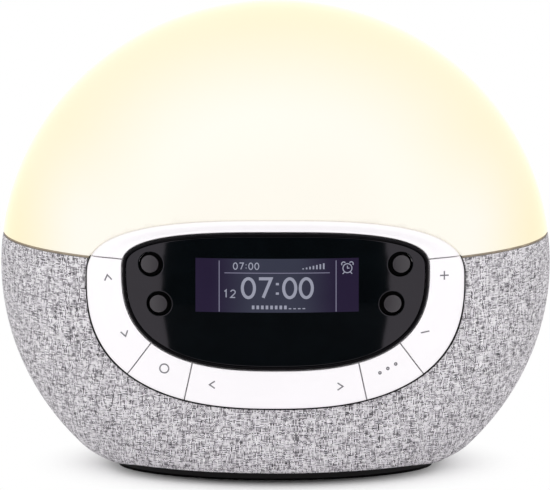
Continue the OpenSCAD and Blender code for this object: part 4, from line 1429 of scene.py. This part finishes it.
@dataclass
class KeyRing:
    """The white ring: a fixed band over the display, and the keys round it."""

    materials: Materials
    under: float = -0.6 * MM
    crest: float = 1.62 * MM
    outer_edge: float = 1.45 * MM
    lip: float = 0.75 * MM
    crest_at: float = 0.76
    lip_at: float = 0.16
    outer_fillet: float = 0.9 * MM
    inner_fillet: float = 0.25 * MM
    end_fillet: float = 0.22 * MM
    step: float = 0.9 * MM
    stem_radius: float = 2.0 * MM
    stem_low: float = -19 * MM
    stem_bite: float = 0.1 * MM
    thinnest: float = 0.2 * MM
    plate_hole: float = 6 * MM
    plate_top: float = -1.5 * MM
    plate_low: float = -3.1 * MM
    # section of the black strip that paints the shadow in the gap between the ring and the cloth
    seal: tuple[Point2, ...] = (
        (0.0, -0.4 * MM),
        (0.0, 0.26 * MM),
        mm(0.18, 0.34),
        mm(0.4, 0.3),
        mm(0.56, 0.1),
        mm(0.56, -0.4),
    )
    shadow_thin: float = 0.45
    shadow_top: float = 18 * MM
    shadow_fade: float = 36 * MM
    shadow_probe: float = 0.2 * MM
    caps: dict[str, bpy.types.Object] = field(default_factory=dict)

    def level(self, across: float) -> float:
        """Works out the curve of a key's top.

        Args:
            across: The share of the way from the inner edge to the outer.

        Returns:
            The level.
        """
        if across > self.crest_at:
            t = (across - self.crest_at) / (1 - self.crest_at)
            return self.crest + (self.outer_edge - self.crest) * t * t
        t = (across - self.lip_at) / (self.crest_at - self.lip_at)
        return self.lip + (self.crest - self.lip) * smooth(t)

    def section(self, width: float) -> list[Point2]:
        """Returns the key's section over its bottom: distances from the inner edge, and levels.

        Args:
            width: The ring's width there.

        Returns:
            The points, from the inner wall over the top to the outer wall.
        """
        ri, ro = self.inner_fillet, self.outer_fillet
        inner_top, outer_top = self.level(ri / width), self.level(1 - ro / width)
        inner = [(inwards, inner_top - drop) for inwards, drop in fillet(ri, 5)]
        outer = [(width - inwards, outer_top - drop) for drop, inwards in fillet(ro, 5)]
        top = [(d, self.level(d / width)) for d in spread(ri, width - ro, 18)[1:-1]]
        return [*inner, *top, *outer]

    def ways(self, length: float) -> list[Point2]:
        """Divides a key along its length.

        Args:
            length: The key's length.

        Returns:
            Lengths along it, each with how far the rounded end lowers the top.
        """
        r = self.end_fillet
        ends = fillet(r, 4)
        count = max(4, round((length - 2 * r) / self.step))
        inside = [(way, 0.0) for way in spread(r, length - r, count)[1:-1]]
        return ends + inside + [(length - way, drop) for way, drop in reversed(ends)]

    def arc(self, mesh: Mesh, first: Gap, last: Gap) -> None:
        """Adds the solid of the ring between two gaps, counted anticlockwise.

        Args:
            mesh: The mesh that takes it.
            first, last: The gaps at its start and end.
        """
        inner, outer = Track(WINDOW.inset(-CLEAR)), Track(PANEL.inset(CLEAR))
        half = KEY_GAP / 2
        spans = []
        for track in (inner, outer):
            start = track.crossing(*self._ray(first.shifted(half)))
            end = track.crossing(*self._ray(last.shifted(-half)))
            spans.append((track, start, end - start if end > start else end - start + track.length))
        length = spans[1][2]
        rows = []
        for way, drop in self.ways(length):
            t = way / length
            (x0, y0), (x1, y1) = (track.at(start + span * t) for track, start, span in spans)
            width = math.hypot(x1 - x0, y1 - y0)
            tops = [(d, max(self.under + self.thinnest, z - drop)) for d, z in self.section(width)]
            loop = [(0.0, self.under), *tops, (width, self.under)]
            rows.append(
                mesh.add(
                    FRONT.point(x0 + (x1 - x0) * d / width, y0 + (y1 - y0) * d / width, level)
                    for d, level in loop
                )
            )
        mesh.tube(rows)

    @staticmethod
    def _ray(gap: Gap) -> tuple[Point2, float]:
        """Turns a gap's line into a ray that crosses the ring.

        Args:
            gap: The gap.

        Returns:
            A start well inside the ring, and an angle in radians.
        """
        angle, back = math.radians(gap.angle), 8 * MM
        start = gap.start[0] - back * math.cos(angle), gap.start[1] - back * math.sin(angle)
        return start, angle

    def stem(self, mesh: Mesh, at: Point2) -> None:
        """Adds the round stem that presses a switch.

        Args:
            mesh: The mesh that takes it.
            at: The switch's place on the face.
        """
        rim = circle(at, self.stem_radius, 28)
        low = mesh.add(FRONT.flat_row(rim, self.stem_low))
        high = mesh.add(FRONT.row(rim, self.under + self.stem_bite))
        mesh.tube([low, high])

    def build_keys(self) -> None:
        """Makes each key's cap with its stems, riding on its own body."""
        for key in KEYS:
            mesh = Mesh()
            self.arc(mesh, key.first, key.last)
            for at in key.stems:
                self.stem(mesh, at)
            name = f"{key.name}_cap"
            cap = self.materials.piece(mesh, name, "key_plastic", key.body, body=key.body)
            self.caps[key.name] = cap

    def build_band(self) -> None:
        """Makes the fixed band over the display and the bezel's plate behind the keys."""
        mesh = Mesh()
        self.arc(mesh, RIGHT_GAPS[0], LEFT_GAPS[0])
        rim = Track(PANEL.inset(CLEAR)).loop(220)
        hole = Track(WINDOW.inset(self.plate_hole)).loop(160)
        PlateBuilder(FRONT, rim, [hole]).build(mesh, self.plate_low, self.plate_top, 0.0)
        self.materials.piece(mesh, "bezel_band", "key_plastic", "panel_bezel")

    def build_shadow_strip(self) -> None:
        """Makes a thin black strip over the cloth's edge, at the ring's sides and under it: painted
        shadow in the gap under the ring, narrower towards the top.
        """
        track = Track(PANEL)
        start, end = (track.crossing(*self._ray(gaps[0])) for gaps in (LEFT_GAPS, RIGHT_GAPS))
        length = (end - start) % track.length
        mesh = Mesh()
        rows = []
        for way in spread(start, start + length, round(length / self.step)):
            u, v = track.at(way)
            (u0, v0), (u1, v1) = track.at(way - self.shadow_probe), track.at(way + self.shadow_probe)
            size = math.hypot(u1 - u0, v1 - v0)
            out_u, out_v = (v1 - v0) / size, (u0 - u1) / size
            skin = FRONT.skin(u, v)
            thin = self.shadow_thin
            # painted shadow: the strip is full width low down and thins towards the top
            share = thin + (1 - thin) * smooth((self.shadow_top - v) / self.shadow_fade)
            rows.append(
                mesh.add(
                    FRONT.flat(u + share * out_u * out, v + share * out_v * out, skin + rise)
                    for out, rise in self.seal
                )
            )
        mesh.tube(rows)
        self.materials.piece(mesh, "ring_shadow_strip", "black_rubber")


Loop = Sequence[Point2]
NumberedLoop = tuple[Loop, list[int]]


@dataclass
class PlateBuilder:
    """A plate of a flat outline with holes, bent to a face, with rounded upper edges."""

    face: Face
    outline: Loop
    holes: Sequence[Loop] = ()
    grid: float = 3.0 * MM
    guard: float = 0.15 * MM
    margin_share: float = 0.45

    def build(self, mesh: Mesh, low: float, high: float, edge: float) -> None:
        """Adds the plate.

        Args:
            mesh: The mesh that takes it.
            low, high: The levels of its back and its face.
            edge: The radius of its upper edges.
        """
        rims = [(0.0, high)]
        if edge:
            rims = [(inwards, high - drop) for inwards, drop in fillet(edge, 4)]
            rims.append((edge + self.guard, high))
        tops: list[NumberedLoop] = []
        backs: list[NumberedLoop] = []
        for loop, sign in [(self.outline, 1), *((hole, -1) for hole in self.holes)]:
            rows = [mesh.add(self.face.row(loop, low))]
            for inwards, level in rims:
                ring = offset(loop, sign * inwards)
                rows.append(mesh.add(self.face.row(ring, level)))
            mesh.rows(rows)
            tops.append((ring, rows[-1]))
            backs.append((loop, rows[0]))
        self._fill(mesh, tops, high)
        self._fill(mesh, backs, low)

    def _fill(self, mesh: Mesh, loops: Sequence[NumberedLoop], level: float) -> None:
        """Fills the space inside the first loop and outside the others with an even net.

        Args:
            mesh: The mesh that takes it.
            loops: The loops, each with its points' numbers in the mesh.
            level: The net's level above the face.
        """
        flat, numbers, edges = [], [], []
        for loop, known in loops:
            first = len(flat)
            flat += loop
            numbers += known
            edges += [(first + i, first + (i + 1) % len(loop)) for i in range(len(loop))]
        outer, *holes = (loop for loop, _ in loops)
        us, vs = zip(*outer)
        margin = self.grid * self.margin_share
        for row, v in enumerate(self._lanes(min(vs), max(vs), 0.0)):
            for u in self._lanes(min(us), max(us), self.grid / 2 if row % 2 else 0.0):
                if between(outer, holes, u, v, margin):
                    flat.append((u, v))
                    numbers += mesh.add([self.face.point(u, v, level)])
        net = delaunay_2d_cdt([Vector(p) for p in flat], edges, [], 0, 1e-9)
        points, _, triangles, origins, _, _ = net
        back = [sources[0] for sources in origins]
        for triangle in triangles:
            u, v = (sum(points[i][axis] for i in triangle) / 3 for axis in (0, 1))
            if between(outer, holes, u, v):
                mesh.faces.append(tuple(numbers[back[i]] for i in triangle))

    def _lanes(self, low: float, high: float, shift: float) -> list[float]:
        """Returns the net's even steps between two ends, the first of them shifted."""
        return spread(low + shift, high, max(2, round((high - low) / self.grid)))


def between(outer: Loop, holes: Iterable[Loop], u: float, v: float, margin: float = 0.0) -> bool:
    """Tells whether a point lies in a loop and in none of its holes.

    Args:
        outer: The loop.
        holes: The holes.
        u, v: The point.
        margin: How far from all of them it has to be.

    Returns:
        True where it does.
    """
    return inside(outer, u, v, margin) and not any(inside(hole, u, v, -margin) for hole in holes)


def inside(loop: Loop, u: float, v: float, margin: float = 0.0) -> bool:
    """Tells whether a point lies in a loop.

    Args:
        loop: The closed polyline.
        u, v: The point.
        margin: How far inside it has to be, or, where negative, how far outside it may be.

    Returns:
        True where it does.
    """
    odd = False
    near = 1e9
    for i, (x1, y1) in enumerate(loop):
        x0, y0 = loop[i - 1]
        if (y0 > v) != (y1 > v) and u < x0 + (v - y0) / (y1 - y0) * (x1 - x0):
            odd = not odd
        if margin:
            near = min(near, math.hypot(u - x1, v - y1))
    return near > margin and odd if margin >= 0 else odd or near < -margin


def offset(loop: Loop, by: float) -> list[Point2]:
    """Moves a closed loop inwards.

    Args:
        loop: The loop.
        by: The distance, or, where negative, how far it moves outwards.

    Returns:
        The moved loop, with as many points.
    """
    moved = []
    count = len(loop)
    turn = sum(loop[i - 1][0] * loop[i][1] - loop[i][0] * loop[i - 1][1] for i in range(count))
    sign = 1 if turn > 0 else -1
    for i, (u, v) in enumerate(loop):
        (x0, y0), (x1, y1) = loop[i - 1], loop[(i + 1) % count]
        dx, dy = x1 - x0, y1 - y0
        size = math.hypot(dx, dy) or 1.0
        moved.append((u - sign * by * dy / size, v + sign * by * dx / size))
    return moved


BUTTON_AT = {
    "upper_left_button": mm(-47.4, 19),
    "lower_left_button": mm(-44.1, 4.2),
    "upper_right_button": mm(47.4, 19),
    "lower_right_button": mm(44.1, 4.2),
}


@dataclass
class Window:
    """The black display window, its rim and the four round buttons in it."""

    materials: Materials
    rim_width: float = 1.2 * MM
    rim_top: float = 1.2 * MM
    rim_low: float = -1.45 * MM
    face_level: float = 0.6 * MM
    back_level: float = -1.4 * MM
    edge: float = 0.3 * MM
    gap: float = 0.1 * MM
    hole: float = 4.6 * MM
    hollow: float = 0.5 * MM
    cap: float = 3.3 * MM
    cap_edge: float = 0.4 * MM
    cap_rise: float = 1.1 * MM
    cap_wall: float = 0.1 * MM
    cap_core: float = 0.5 * MM
    crown: float = 0.12 * MM
    skirt_gap: float = 0.05 * MM
    skirt_depth: float = 1.2 * MM
    flange: float = 4.35 * MM
    flange_low: float = -4.3 * MM
    stem: float = 1.5 * MM
    splay: float = 1.25
    sides: int = 56
    rim_sides: int = 320
    hole_sides: int = 64
    grid: float = 2.2 * MM

    def build_rim(self) -> None:
        """Makes the narrow black rim with its half-round crest."""
        half = self.rim_width / 2
        crest = [
            (CLEAR + inwards, self.rim_top - drop) for inwards, drop in fillet(half, 12, math.pi)
        ]
        section = [(CLEAR, self.rim_low), *crest, (CLEAR + self.rim_width, self.rim_low)]
        mesh = Mesh()
        base = Track(WINDOW).loop(self.rim_sides)
        rows = [mesh.add(FRONT.row(offset(base, inset), z)) for inset, z in section]
        mesh.rows([*rows, rows[0]])
        self.materials.piece(mesh, "display_rim", "rim_black", "window_rim")

    def build_window(self) -> None:
        """Makes the convex window with its four rounded button holes."""
        loop = offset(Track(WINDOW).loop(self.rim_sides), CLEAR + self.rim_width + self.gap)
        holes = [circle(at, self.hole, self.hole_sides) for at in BUTTON_AT.values()]
        plate = PlateBuilder(FRONT, loop, holes, self.grid)
        mesh = Mesh()
        plate.build(mesh, self.back_level, self.face_level, self.edge)
        self.materials.piece(mesh, "black_window", "window_black", "display_window")

    def turned(self, mesh: Mesh, at: Point2, profile: Sequence[Point2]) -> list[list[int]]:
        """Turns a profile about a button's axis, which splays outwards with the curve of the face.

        Args:
            mesh: The mesh that takes the points.
            at: The button's place on the face.
            profile: Radii and levels, from the top down.

        Returns:
            The rows of points.
        """
        rows = []
        for radius, level in profile:
            lifted = max(0.0, level - self.face_level + self.hollow)
            shift = self.splay * lifted / FRONT.radius
            spot = at[0] * (1 + shift), at[1] * (1 + shift)
            rows.append(mesh.add(FRONT.row(circle(spot, radius, self.sides), level)))
        return rows

    def build_button(self, name: str) -> None:
        """Makes a round button: a crowned cap with a soft edge over its skirt and stem, which are
        made near black as painted shade in the moat round the cap.

        Args:
            name: The button's CAD body and node.
        """
        at = BUTTON_AT[name]
        top = self.face_level + self.cap_rise
        flat = self.cap - self.cap_edge
        crown = [(flat * t, top + self.crown * (1 - t * t)) for t in spread(0.05, 1.0, 8)]
        rounding = [
            (flat + self.cap_edge * math.sin(a), top - self.cap_edge * (1 - math.cos(a)))
            for a in spread(0.0, math.pi / 2, 5)[1:]
        ]
        low = top - self.cap_edge - self.cap_wall
        cap = Mesh()
        cap.tube(self.turned(cap, at, [*crown, *rounding, (self.cap, low), (self.cap_core, low)]))
        self.materials.piece(cap, f"{name}_cap", "button_grey", name, body=name)
        wall, high = self.cap - self.skirt_gap, low - self.skirt_gap
        foot = self.face_level - self.hollow - self.skirt_depth
        profile = [(self.cap_core, high), (wall, high), (wall, foot), (self.flange, foot)]
        skirt = Mesh()
        rows = self.turned(skirt, at, [*profile, (self.flange, self.flange_low)])
        rim = circle(at, self.stem, self.sides)
        for height in (self.flange_low + FRONT.rise(*at, 0.0), KeyRing.stem_low):
            rows.append(skirt.add(FRONT.flat_row(rim, height)))
        skirt.tube(rows)
        # the skirt takes the painted-shade finish
        well = self.materials.well
        self.materials.piece(skirt, f"{name}_skirt", "rim_black", body=name, finish=well)

    def build(self) -> None:
        """Makes the rim, the window and the buttons."""
        self.build_rim()
        self.build_window()
        for name in BUTTON_AT:
            self.build_button(name)


# ---------------------------------------------------------------- marks and display


Stroke = tuple[Sequence[Point2], bool]


def arc_points(
    centre: Point2, radius: Point2, start: float, end: float, count: int
) -> list[Point2]:
    """Returns points along an arc.

    Args:
        centre: Its centre.
        radius: Its half width and half height.
        start, end: Its ends, in degrees.
        count: How many steps it has.

    Returns:
        The points.
    """
    (x, y), (wide, high) = centre, radius
    around = [math.radians(a) for a in spread(start, end, count)]
    return [(x + wide * math.cos(a), y + high * math.sin(a)) for a in around]


def ring_stroke(centre: Point2, radius: Point2, count: int) -> Stroke:
    """Returns a closed round stroke of so many corners."""
    return arc_points(centre, radius, 0, 360 - 360 / count, count - 1), True


class Inlay:
    """Flat strokes and patches laid on a curved surface as thin solids."""

    STEP = 1.2 * MM
    MITRE = 0.35

    def __init__(self, height: Callable[[float, float], float], lift: float = 0.03 * MM) -> None:
        """Takes the surface.

        Args:
            height: Finds its height above the front frame's plane at a point of the frame.
            lift: How far the strokes stand above it.
        """
        self.height = height
        self.lift = lift
        self.mesh = Mesh()

    def _row(self, points: Sequence[Point2], lift: float) -> list[int]:
        """Adds points at a lift above the surface."""
        return self.mesh.add(FRONT.flat(u, v, self.height(u, v) + lift) for u, v in points)

    def stroke(self, path: Sequence[Point2], width: float, closed: bool = False) -> None:
        """Adds a line of even width along a path, finely enough divided to follow the surface.

        Args:
            path: The corners of the line.
            width: Its width.
            closed: Whether it returns to its start.
        """
        corners = [*path, path[0]] if closed else list(path)
        fine: list[Point2] = []
        for (x0, y0), (x1, y1) in zip(corners, corners[1:]):
            count = max(1, math.ceil(math.hypot(x1 - x0, y1 - y0) / self.STEP))
            fine += [(x0 + (x1 - x0) * i / count, y0 + (y1 - y0) * i / count) for i in range(count)]
        if not closed:
            fine.append(corners[-1])
        left, right = [], []
        for i, (x, y) in enumerate(fine):
            before = fine[i - 1] if closed or i else fine[0]
            after = fine[(i + 1) % len(fine)] if closed or i < len(fine) - 1 else fine[-1]
            nx, ny = self._mitre(before, (x, y), after)
            left.append((x + nx * width / 2, y + ny * width / 2))
            right.append((x - nx * width / 2, y - ny * width / 2))
        corners_round = [(left, -1), (left, 1), (right, 1), (right, -1)]
        rows = [self._row(side, face * self.lift) for side, face in corners_round]
        for first, second in zip(rows, [*rows[1:], rows[0]]):
            self.mesh.strip(first, second, closed)
        if not closed:
            for end in (0, -1):
                self.mesh.cap([row[end] for row in rows])

    @staticmethod
    def _mitre(before: Point2, at: Point2, after: Point2) -> Point2:
        """Works out a corner.

        Args:
            before, at, after: The corner between its two neighbours.

        Returns:
            The sideways direction, lengthened so that the line keeps its width.
        """
        normals = []
        for (x0, y0), (x1, y1) in ((before, at), (at, after)):
            size = math.hypot(x1 - x0, y1 - y0)
            if size > 1e-12:
                normals.append((-(y1 - y0) / size, (x1 - x0) / size))
        nx, ny = sum(n[0] for n in normals), sum(n[1] for n in normals)
        size = math.hypot(nx, ny) or 1.0
        nx, ny = nx / size, ny / size
        stretch = 1 / max(Inlay.MITRE, nx * normals[0][0] + ny * normals[0][1])
        return nx * stretch, ny * stretch

    def patch(self, low: Point2, high: Point2, step: float = 2 * MM) -> None:
        """Adds a rectangle.

        Args:
            low, high: Its lower left and upper right corners.
            step: How finely it is divided.
        """
        us, vs = (spread(a, b, max(1, math.ceil((b - a) / step))) for a, b in zip(low, high))
        lanes = [[(u, v) for u in us] for v in vs]
        top, under = ([self._row(lane, side * self.lift) for lane in lanes] for side in (1, -1))
        self.mesh.rows(top, closed=False)
        self.mesh.rows(under, closed=False)
        for end in (0, -1):
            self.mesh.strip(top[end], under[end], closed=False)
        for end in (0, -1):
            self.mesh.strip([row[end] for row in top], [row[end] for row in under], closed=False)


def surface_of(piece: bpy.types.Object) -> Callable[[float, float], float]:
    """Reads a piece's face.

    Args:
        piece: The piece.

    Returns:
        A function that finds its height above the front frame's plane.
    """
    bm = bmesh.new()
    bm.from_mesh(piece.data)
    tree = BVHTree.FromBMesh(bm)
    bm.free()
    out = FRONT.outward()
    start = 20 * MM

    def height(u: float, v: float) -> float:
        """Returns the height at a point of the frame's plane."""
        hit = tree.ray_cast(FRONT.flat(u, v, start), -out)
        return start - hit[3]

    return height


@dataclass
class KeyMarks:
    """The small marks printed on the keys."""

    materials: Materials
    ring: KeyRing
    size: float = 3.3 * MM
    line: float = 0.5 * MM
    head_half: float = 0.42
    head_depth: float = 0.62
    select_radius: float = 1.7 * MM
    dot_radius: float = 0.45 * MM

    def chevron(self, at: Point2, angle: float) -> Stroke:
        """Draws an arrow head.

        Args:
            at: Its middle.
            angle: Where it looks, in degrees.

        Returns:
            The stroke.
        """
        c, s = math.cos(math.radians(angle)), math.sin(math.radians(angle))
        half, depth = self.size * self.head_half, self.size * self.head_depth
        shape = [(-depth / 2, half), (depth / 2, 0.0), (-depth / 2, -half)]
        return [(at[0] + x * c - y * s, at[1] + x * s + y * c) for x, y in shape], False

    def bar(self, at: Point2, angle: float) -> Stroke:
        """Draws a short line.

        Args:
            at: Its middle.
            angle: Its direction, in degrees.

        Returns:
            The stroke.
        """
        a = math.radians(angle)
        x, y = self.size / 2 * math.cos(a), self.size / 2 * math.sin(a)
        return [(at[0] - x, at[1] - y), (at[0] + x, at[1] + y)], False

    def strokes(self) -> dict[str, list[Stroke]]:
        """Draws the marks.

        Returns:
            The strokes on each key, by its name.
        """
        up, down = mm(-63.8, 13.2), mm(-57.3, -8.0)
        plus, minus = mm(64.2, 14.0), mm(56.9, -7.3)
        left, right = mm(-24.1, -26.6), mm(24.6, -27.3)
        select = ring_stroke(mm(-42.3, -20.8), (self.select_radius, self.select_radius), 24)
        dots = [(42.7 * MM + i * 3.0 * MM, -20.8 * MM + i * 1.6 * MM) for i in (-1, 0, 1)]
        return {
            "up_down": [self.chevron(up, 100), self.chevron(down, 285)],
            "select": [select],
            "left_right": [self.chevron(left, 180), self.chevron(right, 0)],
            "preset": [ring_stroke(dot, (self.dot_radius, self.dot_radius), 8) for dot in dots],
            "plus_minus": [self.bar(plus, 0), self.bar(plus, 90), self.bar(minus, 10)],
        }

    def build(self) -> None:
        """Makes the marks of each key, riding with it."""
        strokes = self.strokes()
        for key in KEYS:
            inlay = Inlay(surface_of(self.ring.caps[key.name]))
            for path, closed in strokes[key.name]:
                inlay.stroke(path, self.line, closed)
            name, ink = f"{key.name}_cap_mark", self.materials.ink
            self.materials.piece(inlay.mesh, name, "key_plastic", body=key.body, finish=ink)


@dataclass(frozen=True)
class Number:
    """A row of digits: where it starts, a digit's size, the step between digits and the line."""

    text: str
    at: Point2
    size: Point2
    pitch: float
    line: float

    def digit(self, sign: str, x: float, wide: float) -> list[Stroke]:
        """Returns the strokes of one digit or a colon.

        Args:
            sign: "0", "1", "2", "7" or ":".
            x: Its left side.
            wide: Its width.

        Returns:
            The strokes.
        """
        y, h = self.at[1], self.size[1]
        middle = x + wide / 2
        if sign == "0":
            return [ring_stroke((middle, y + h / 2), (wide / 2, h / 2), 36)]
        if sign == ":":
            dot = 0.12 * h
            heights = [y + h * share for share in (0.22, 0.72)]
            return [([(middle, at - dot / 2), (middle, at + dot / 2)], False) for at in heights]
        bowl = arc_points((middle, y + h * 0.72), (wide / 2, h * 0.28), 170, -35, 12)
        paths = {
            "1": [(x + wide * 0.15, y + h * 0.8), (x + wide * 0.5, y + h), (x + wide * 0.5, y)],
            "2": [*bowl, (x, y), (x + wide, y)],
            "7": [(x, y + h), (x + wide, y + h), (x + wide * 0.35, y)],
        }
        return [(paths[sign], False)]

    def lay(self, inlay: Inlay) -> None:
        """Lays the digits in a row.

        Args:
            inlay: What takes them.
        """
        x = self.at[0]
        for sign in self.text:
            wide = self.size[0] * (0.3 if sign == ":" else 1.0)
            for path, closed in self.digit(sign, x, wide):
                inlay.stroke(path, self.line, closed)
            x += wide + self.pitch - self.size[0]


@dataclass
class Display:
    """What the display shows: a lit ground, plain digits, lines and an alarm sign."""

    materials: Materials
    low: Point2 = mm(-30.4, 1.6)
    high: Point2 = mm(31.6, 22.0)
    uprights: Point2 = mm(-21.4, 23.0)
    upright_gaps: Point2 = mm(0.2, 0.8)
    upright_line: float = 0.35 * MM
    level_line: float = 0.3 * MM
    level_from: Point2 = mm(-19.4, 16.6)
    level_to: Point2 = mm(20.6, 16.6)
    numbers: tuple[Number, ...] = (
        Number("07:00", mm(-12.6, 7.3), mm(4.6, 7.2), 6.3 * MM, 1.15 * MM),
        Number("07:00", mm(-16.0, 18.0), mm(1.5, 2.4), 2.3 * MM, 0.38 * MM),
        Number("12", mm(-19.6, 7.3), mm(1.7, 2.8), 2.6 * MM, 0.42 * MM),
    )
    alarm_at: Point2 = mm(27.3, 18.2)
    alarm_radius: float = 1.7 * MM
    alarm_line: float = 0.38 * MM

    def inlay(self, lift: float) -> Inlay:
        """Returns an empty inlay on the window's face."""
        return Inlay(lambda u, v: FRONT.rise(u, v, Window.face_level), lift)

    def alarm_sign(self, inlay: Inlay) -> None:
        """Lays a small alarm clock: a dial, two hands, two bells and two feet.

        Args:
            inlay: What takes it.
        """
        (x, y), r, line = self.alarm_at, self.alarm_radius, self.alarm_line
        dial, closed = ring_stroke((x, y), (r, r), 36)
        inlay.stroke(dial, line, closed)
        inlay.stroke([(x, y + r * 0.55), (x, y), (x + r * 0.45, y)], line)
        for side in (-1, 1):
            hub = (x + side * r * 0.85, y + r * 0.95)
            turn = 90 - side * 90
            bell = arc_points(hub, (r * 0.45, r * 0.45), turn - side * 35, turn + side * 145, 8)
            inlay.stroke(bell, line)
            foot = (x + side * r * 0.65, y - r * 0.85)
            inlay.stroke([foot, (foot[0] + side * r * 0.4, foot[1] - r * 0.4)], line)

    def bars(self, inlay: Inlay) -> None:
        """Lays seven rising bars above the big digits and a row of twelve under them.

        Args:
            inlay: What takes them.
        """
        for i in range(7):
            u = (10.2 + 1.3 * i) * MM
            inlay.patch((u, 18.0 * MM), (u + 0.6 * MM, (18.4 + 0.3 * i) * MM))
        for i in range(12):
            u = (-9.0 + 1.75 * i) * MM
            inlay.patch((u, 2.9 * MM), (u + 1.0 * MM, (4.3 if i < 8 else 3.3) * MM))

    def build(self) -> None:
        """Makes the lit ground, the lines and the signs."""
        ground, lines, signs = (self.inlay(lift * MM) for lift in (0.02, 0.04, 0.05))
        ground.patch(self.low, self.high)
        for u in self.uprights:
            low, high = self.low[1] + self.upright_gaps[0], self.high[1] - self.upright_gaps[1]
            lines.stroke([(u, low), (u, high)], self.upright_line)
        lines.stroke([self.level_from, self.level_to], self.level_line)
        for number in self.numbers:
            number.lay(signs)
        self.bars(signs)
        self.alarm_sign(signs)
        lit = self.materials
        for name, inlay, finish in (
            ("lcd_ground", ground, lit.lcd_ground),
            ("lcd_lines", lines, lit.lcd_line),
            ("lcd_signs", signs, lit.lcd_light),
        ):
            lit.piece(inlay.mesh, name, "display_glass", finish=finish)


# ---------------------------------------------------------------- studio


class LampPlace(Enum):
    """Where a softbox stands and what it is for: place, size and share of the light."""

    KEY = ((-0.5, -1.1, 1.35), 1.3, 0.24)
    FILL = ((0.9, -0.9, 0.9), 1.2, 0.10)
    BACK = ((0.0, 1.3, 1.2), 1.2, 0.06)


@dataclass
class Studio:
    """A plain pale floor, soft light, dark flags that only reflections see, and the camera."""

    azimuth: float = 0.0
    elevation: float = 12.5
    distance: float = 7.0
    lens: float = 1196.6
    aim: tuple[float, float, float] = (-0.0002, 0.00921, 0.08353)
    ambient: float = 0.76
    flag_angle: float = 31.0
    flag_far: float = 2.6
    flag_near: float = 0.16
    flag_lift: float = 1 * MM
    flag_height: float = 2.4
    floor_radii: tuple[float, ...] = (0.1, 0.4, 1.2, 4.0)
    floor_sides: int = 96
    floor_grain: float = 2 * MM
    fade: Point2 = (0.03, 0.062)
    fade_shape: float = 1.55

    def build_camera(self) -> None:
        """Makes the camera and points it at the clock."""
        data = bpy.data.cameras.new("camera")
        data.sensor_width = 36.0
        data.lens = self.lens
        data.clip_end = 50.0
        camera = bpy.data.objects.new("camera", data)
        bpy.context.scene.collection.objects.link(camera)
        turn, rise = math.radians(self.azimuth), math.radians(self.elevation)
        level = math.cos(rise)
        away = Vector((math.sin(turn) * level, -math.cos(turn) * level, math.sin(rise)))
        camera.location = Vector(self.aim) + self.distance * away
        camera.rotation_euler = (-away).to_track_quat("-Z", "Y").to_euler()
        bpy.context.scene.camera = camera

    def build_world(self) -> None:
        """Makes the world: white where it is seen or mirrored, a plain level where it lights."""
        world = bpy.data.worlds.new("studio")
        bpy.context.scene.world = world
        s = Shader(world)
        strength = s.seen().ramp(0.0, 1.0, self.ambient, 1.0)
        light = {"Color": WHITE, "Strength": strength}
        s.show(s.node("ShaderNodeBackground", None, light), "ShaderNodeOutputWorld")

    def floor_material(self) -> bpy.types.Material:
        """Makes the floor's finish.

        Returns:
            A material that is matt white near the clock and pure white further off.
        """
        s = Shader(bpy.data.materials.new("studio_floor"))
        at = s.place()
        x, y, _ = s.axes(at)
        across = x / self.fade_shape
        fade = (across * across + y * y).root().ramp(*self.fade)
        grain = s.noise(at, self.floor_grain)
        tone = s.mix(grain, (0.99, 0.985, 0.99), (1.0, 0.995, 1.0))
        matt = s.node("ShaderNodeBsdfDiffuse", None, {"Color": tone})
        white = s.node("ShaderNodeEmission", None, {"Color": WHITE, "Strength": 1.0})
        s.show(s.node("ShaderNodeMixShader", None, {0: fade * s.seen(), 1: matt, 2: white}))
        return s.owner

    def build_floor(self) -> None:
        """Makes the floor as a wide disc."""
        mesh = Mesh()
        rings = [circle((0.0, 0.0), radius, self.floor_sides) for radius in self.floor_radii]
        rows = [mesh.add(Vector((x, y, 0.0)) for x, y in ring) for ring in rings]
        mesh.rows(rows)
        mesh.cap(rows[0])
        mesh.make("studio_floor", self.floor_material())

    def build_flags(self) -> None:
        """Makes a lying and a standing black flag in front of the clock, which only gloss shows."""
        wide = math.tan(math.radians(self.flag_angle))
        lying = (self.flag_near, self.flag_lift), (self.flag_far, self.flag_lift)
        standing = (self.flag_far, 0.0), (self.flag_far, self.flag_height)
        for name, (near, far) in (("flag_lying", lying), ("flag_standing", standing)):
            corners = [
                (side * away * wide, -away, height)
                for (away, height), sides in ((near, (-1, 1)), (far, (1, -1)))
                for side in sides
            ]
            mesh = Mesh()
            mesh.cap(mesh.add(Vector(corner) for corner in corners))
            flag = mesh.make(name, Moulded(name, srgb(6, 6, 7), 0.9).build())
            for hidden in ("camera", "diffuse", "transmission", "shadow"):
                setattr(flag, f"visible_{hidden}", False)

    def build_lamps(self) -> None:
        """Makes the softboxes."""
        target = Vector((0.0, 0.0, 0.08))
        for lamp in LampPlace:
            place, size, share = lamp.value
            data = bpy.data.lights.new(lamp.name.lower(), "AREA")
            data.shape = "SQUARE"
            data.size = size
            away = Vector(place) - target
            data.energy = share * math.pi**2 * away.length_squared
            made = bpy.data.objects.new(data.name, data)
            made.location = place
            made.rotation_euler = (-away).to_track_quat("-Z", "Y").to_euler()
            made.visible_glossy = False
            bpy.context.scene.collection.objects.link(made)

    def build(self) -> None:
        """Sets the view and builds the studio."""
        bpy.context.scene.view_settings.view_transform = "Standard"
        self.build_camera()
        self.build_world()
        self.build_floor()
        self.build_flags()
        self.build_lamps()


# ---------------------------------------------------------------- build


def main() -> None:
    """Builds the looks in order."""
    logging.basicConfig(level=logging.INFO, format="%(name)s: %(message)s")
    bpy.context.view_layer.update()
    Studio().build()
    materials = Materials()
    materials.dress_nodes(frame["nodes"])
    dome = Dome(materials)
    dome.build_shell()
    dome.build_gasket()
    Cover(materials).build()
    ring = KeyRing(materials)
    ring.build_band()
    ring.build_keys()
    ring.build_shadow_strip()
    Window(materials).build()
    KeyMarks(materials, ring).build()
    Display(materials).build()


if __name__ == "__main__":
    main()
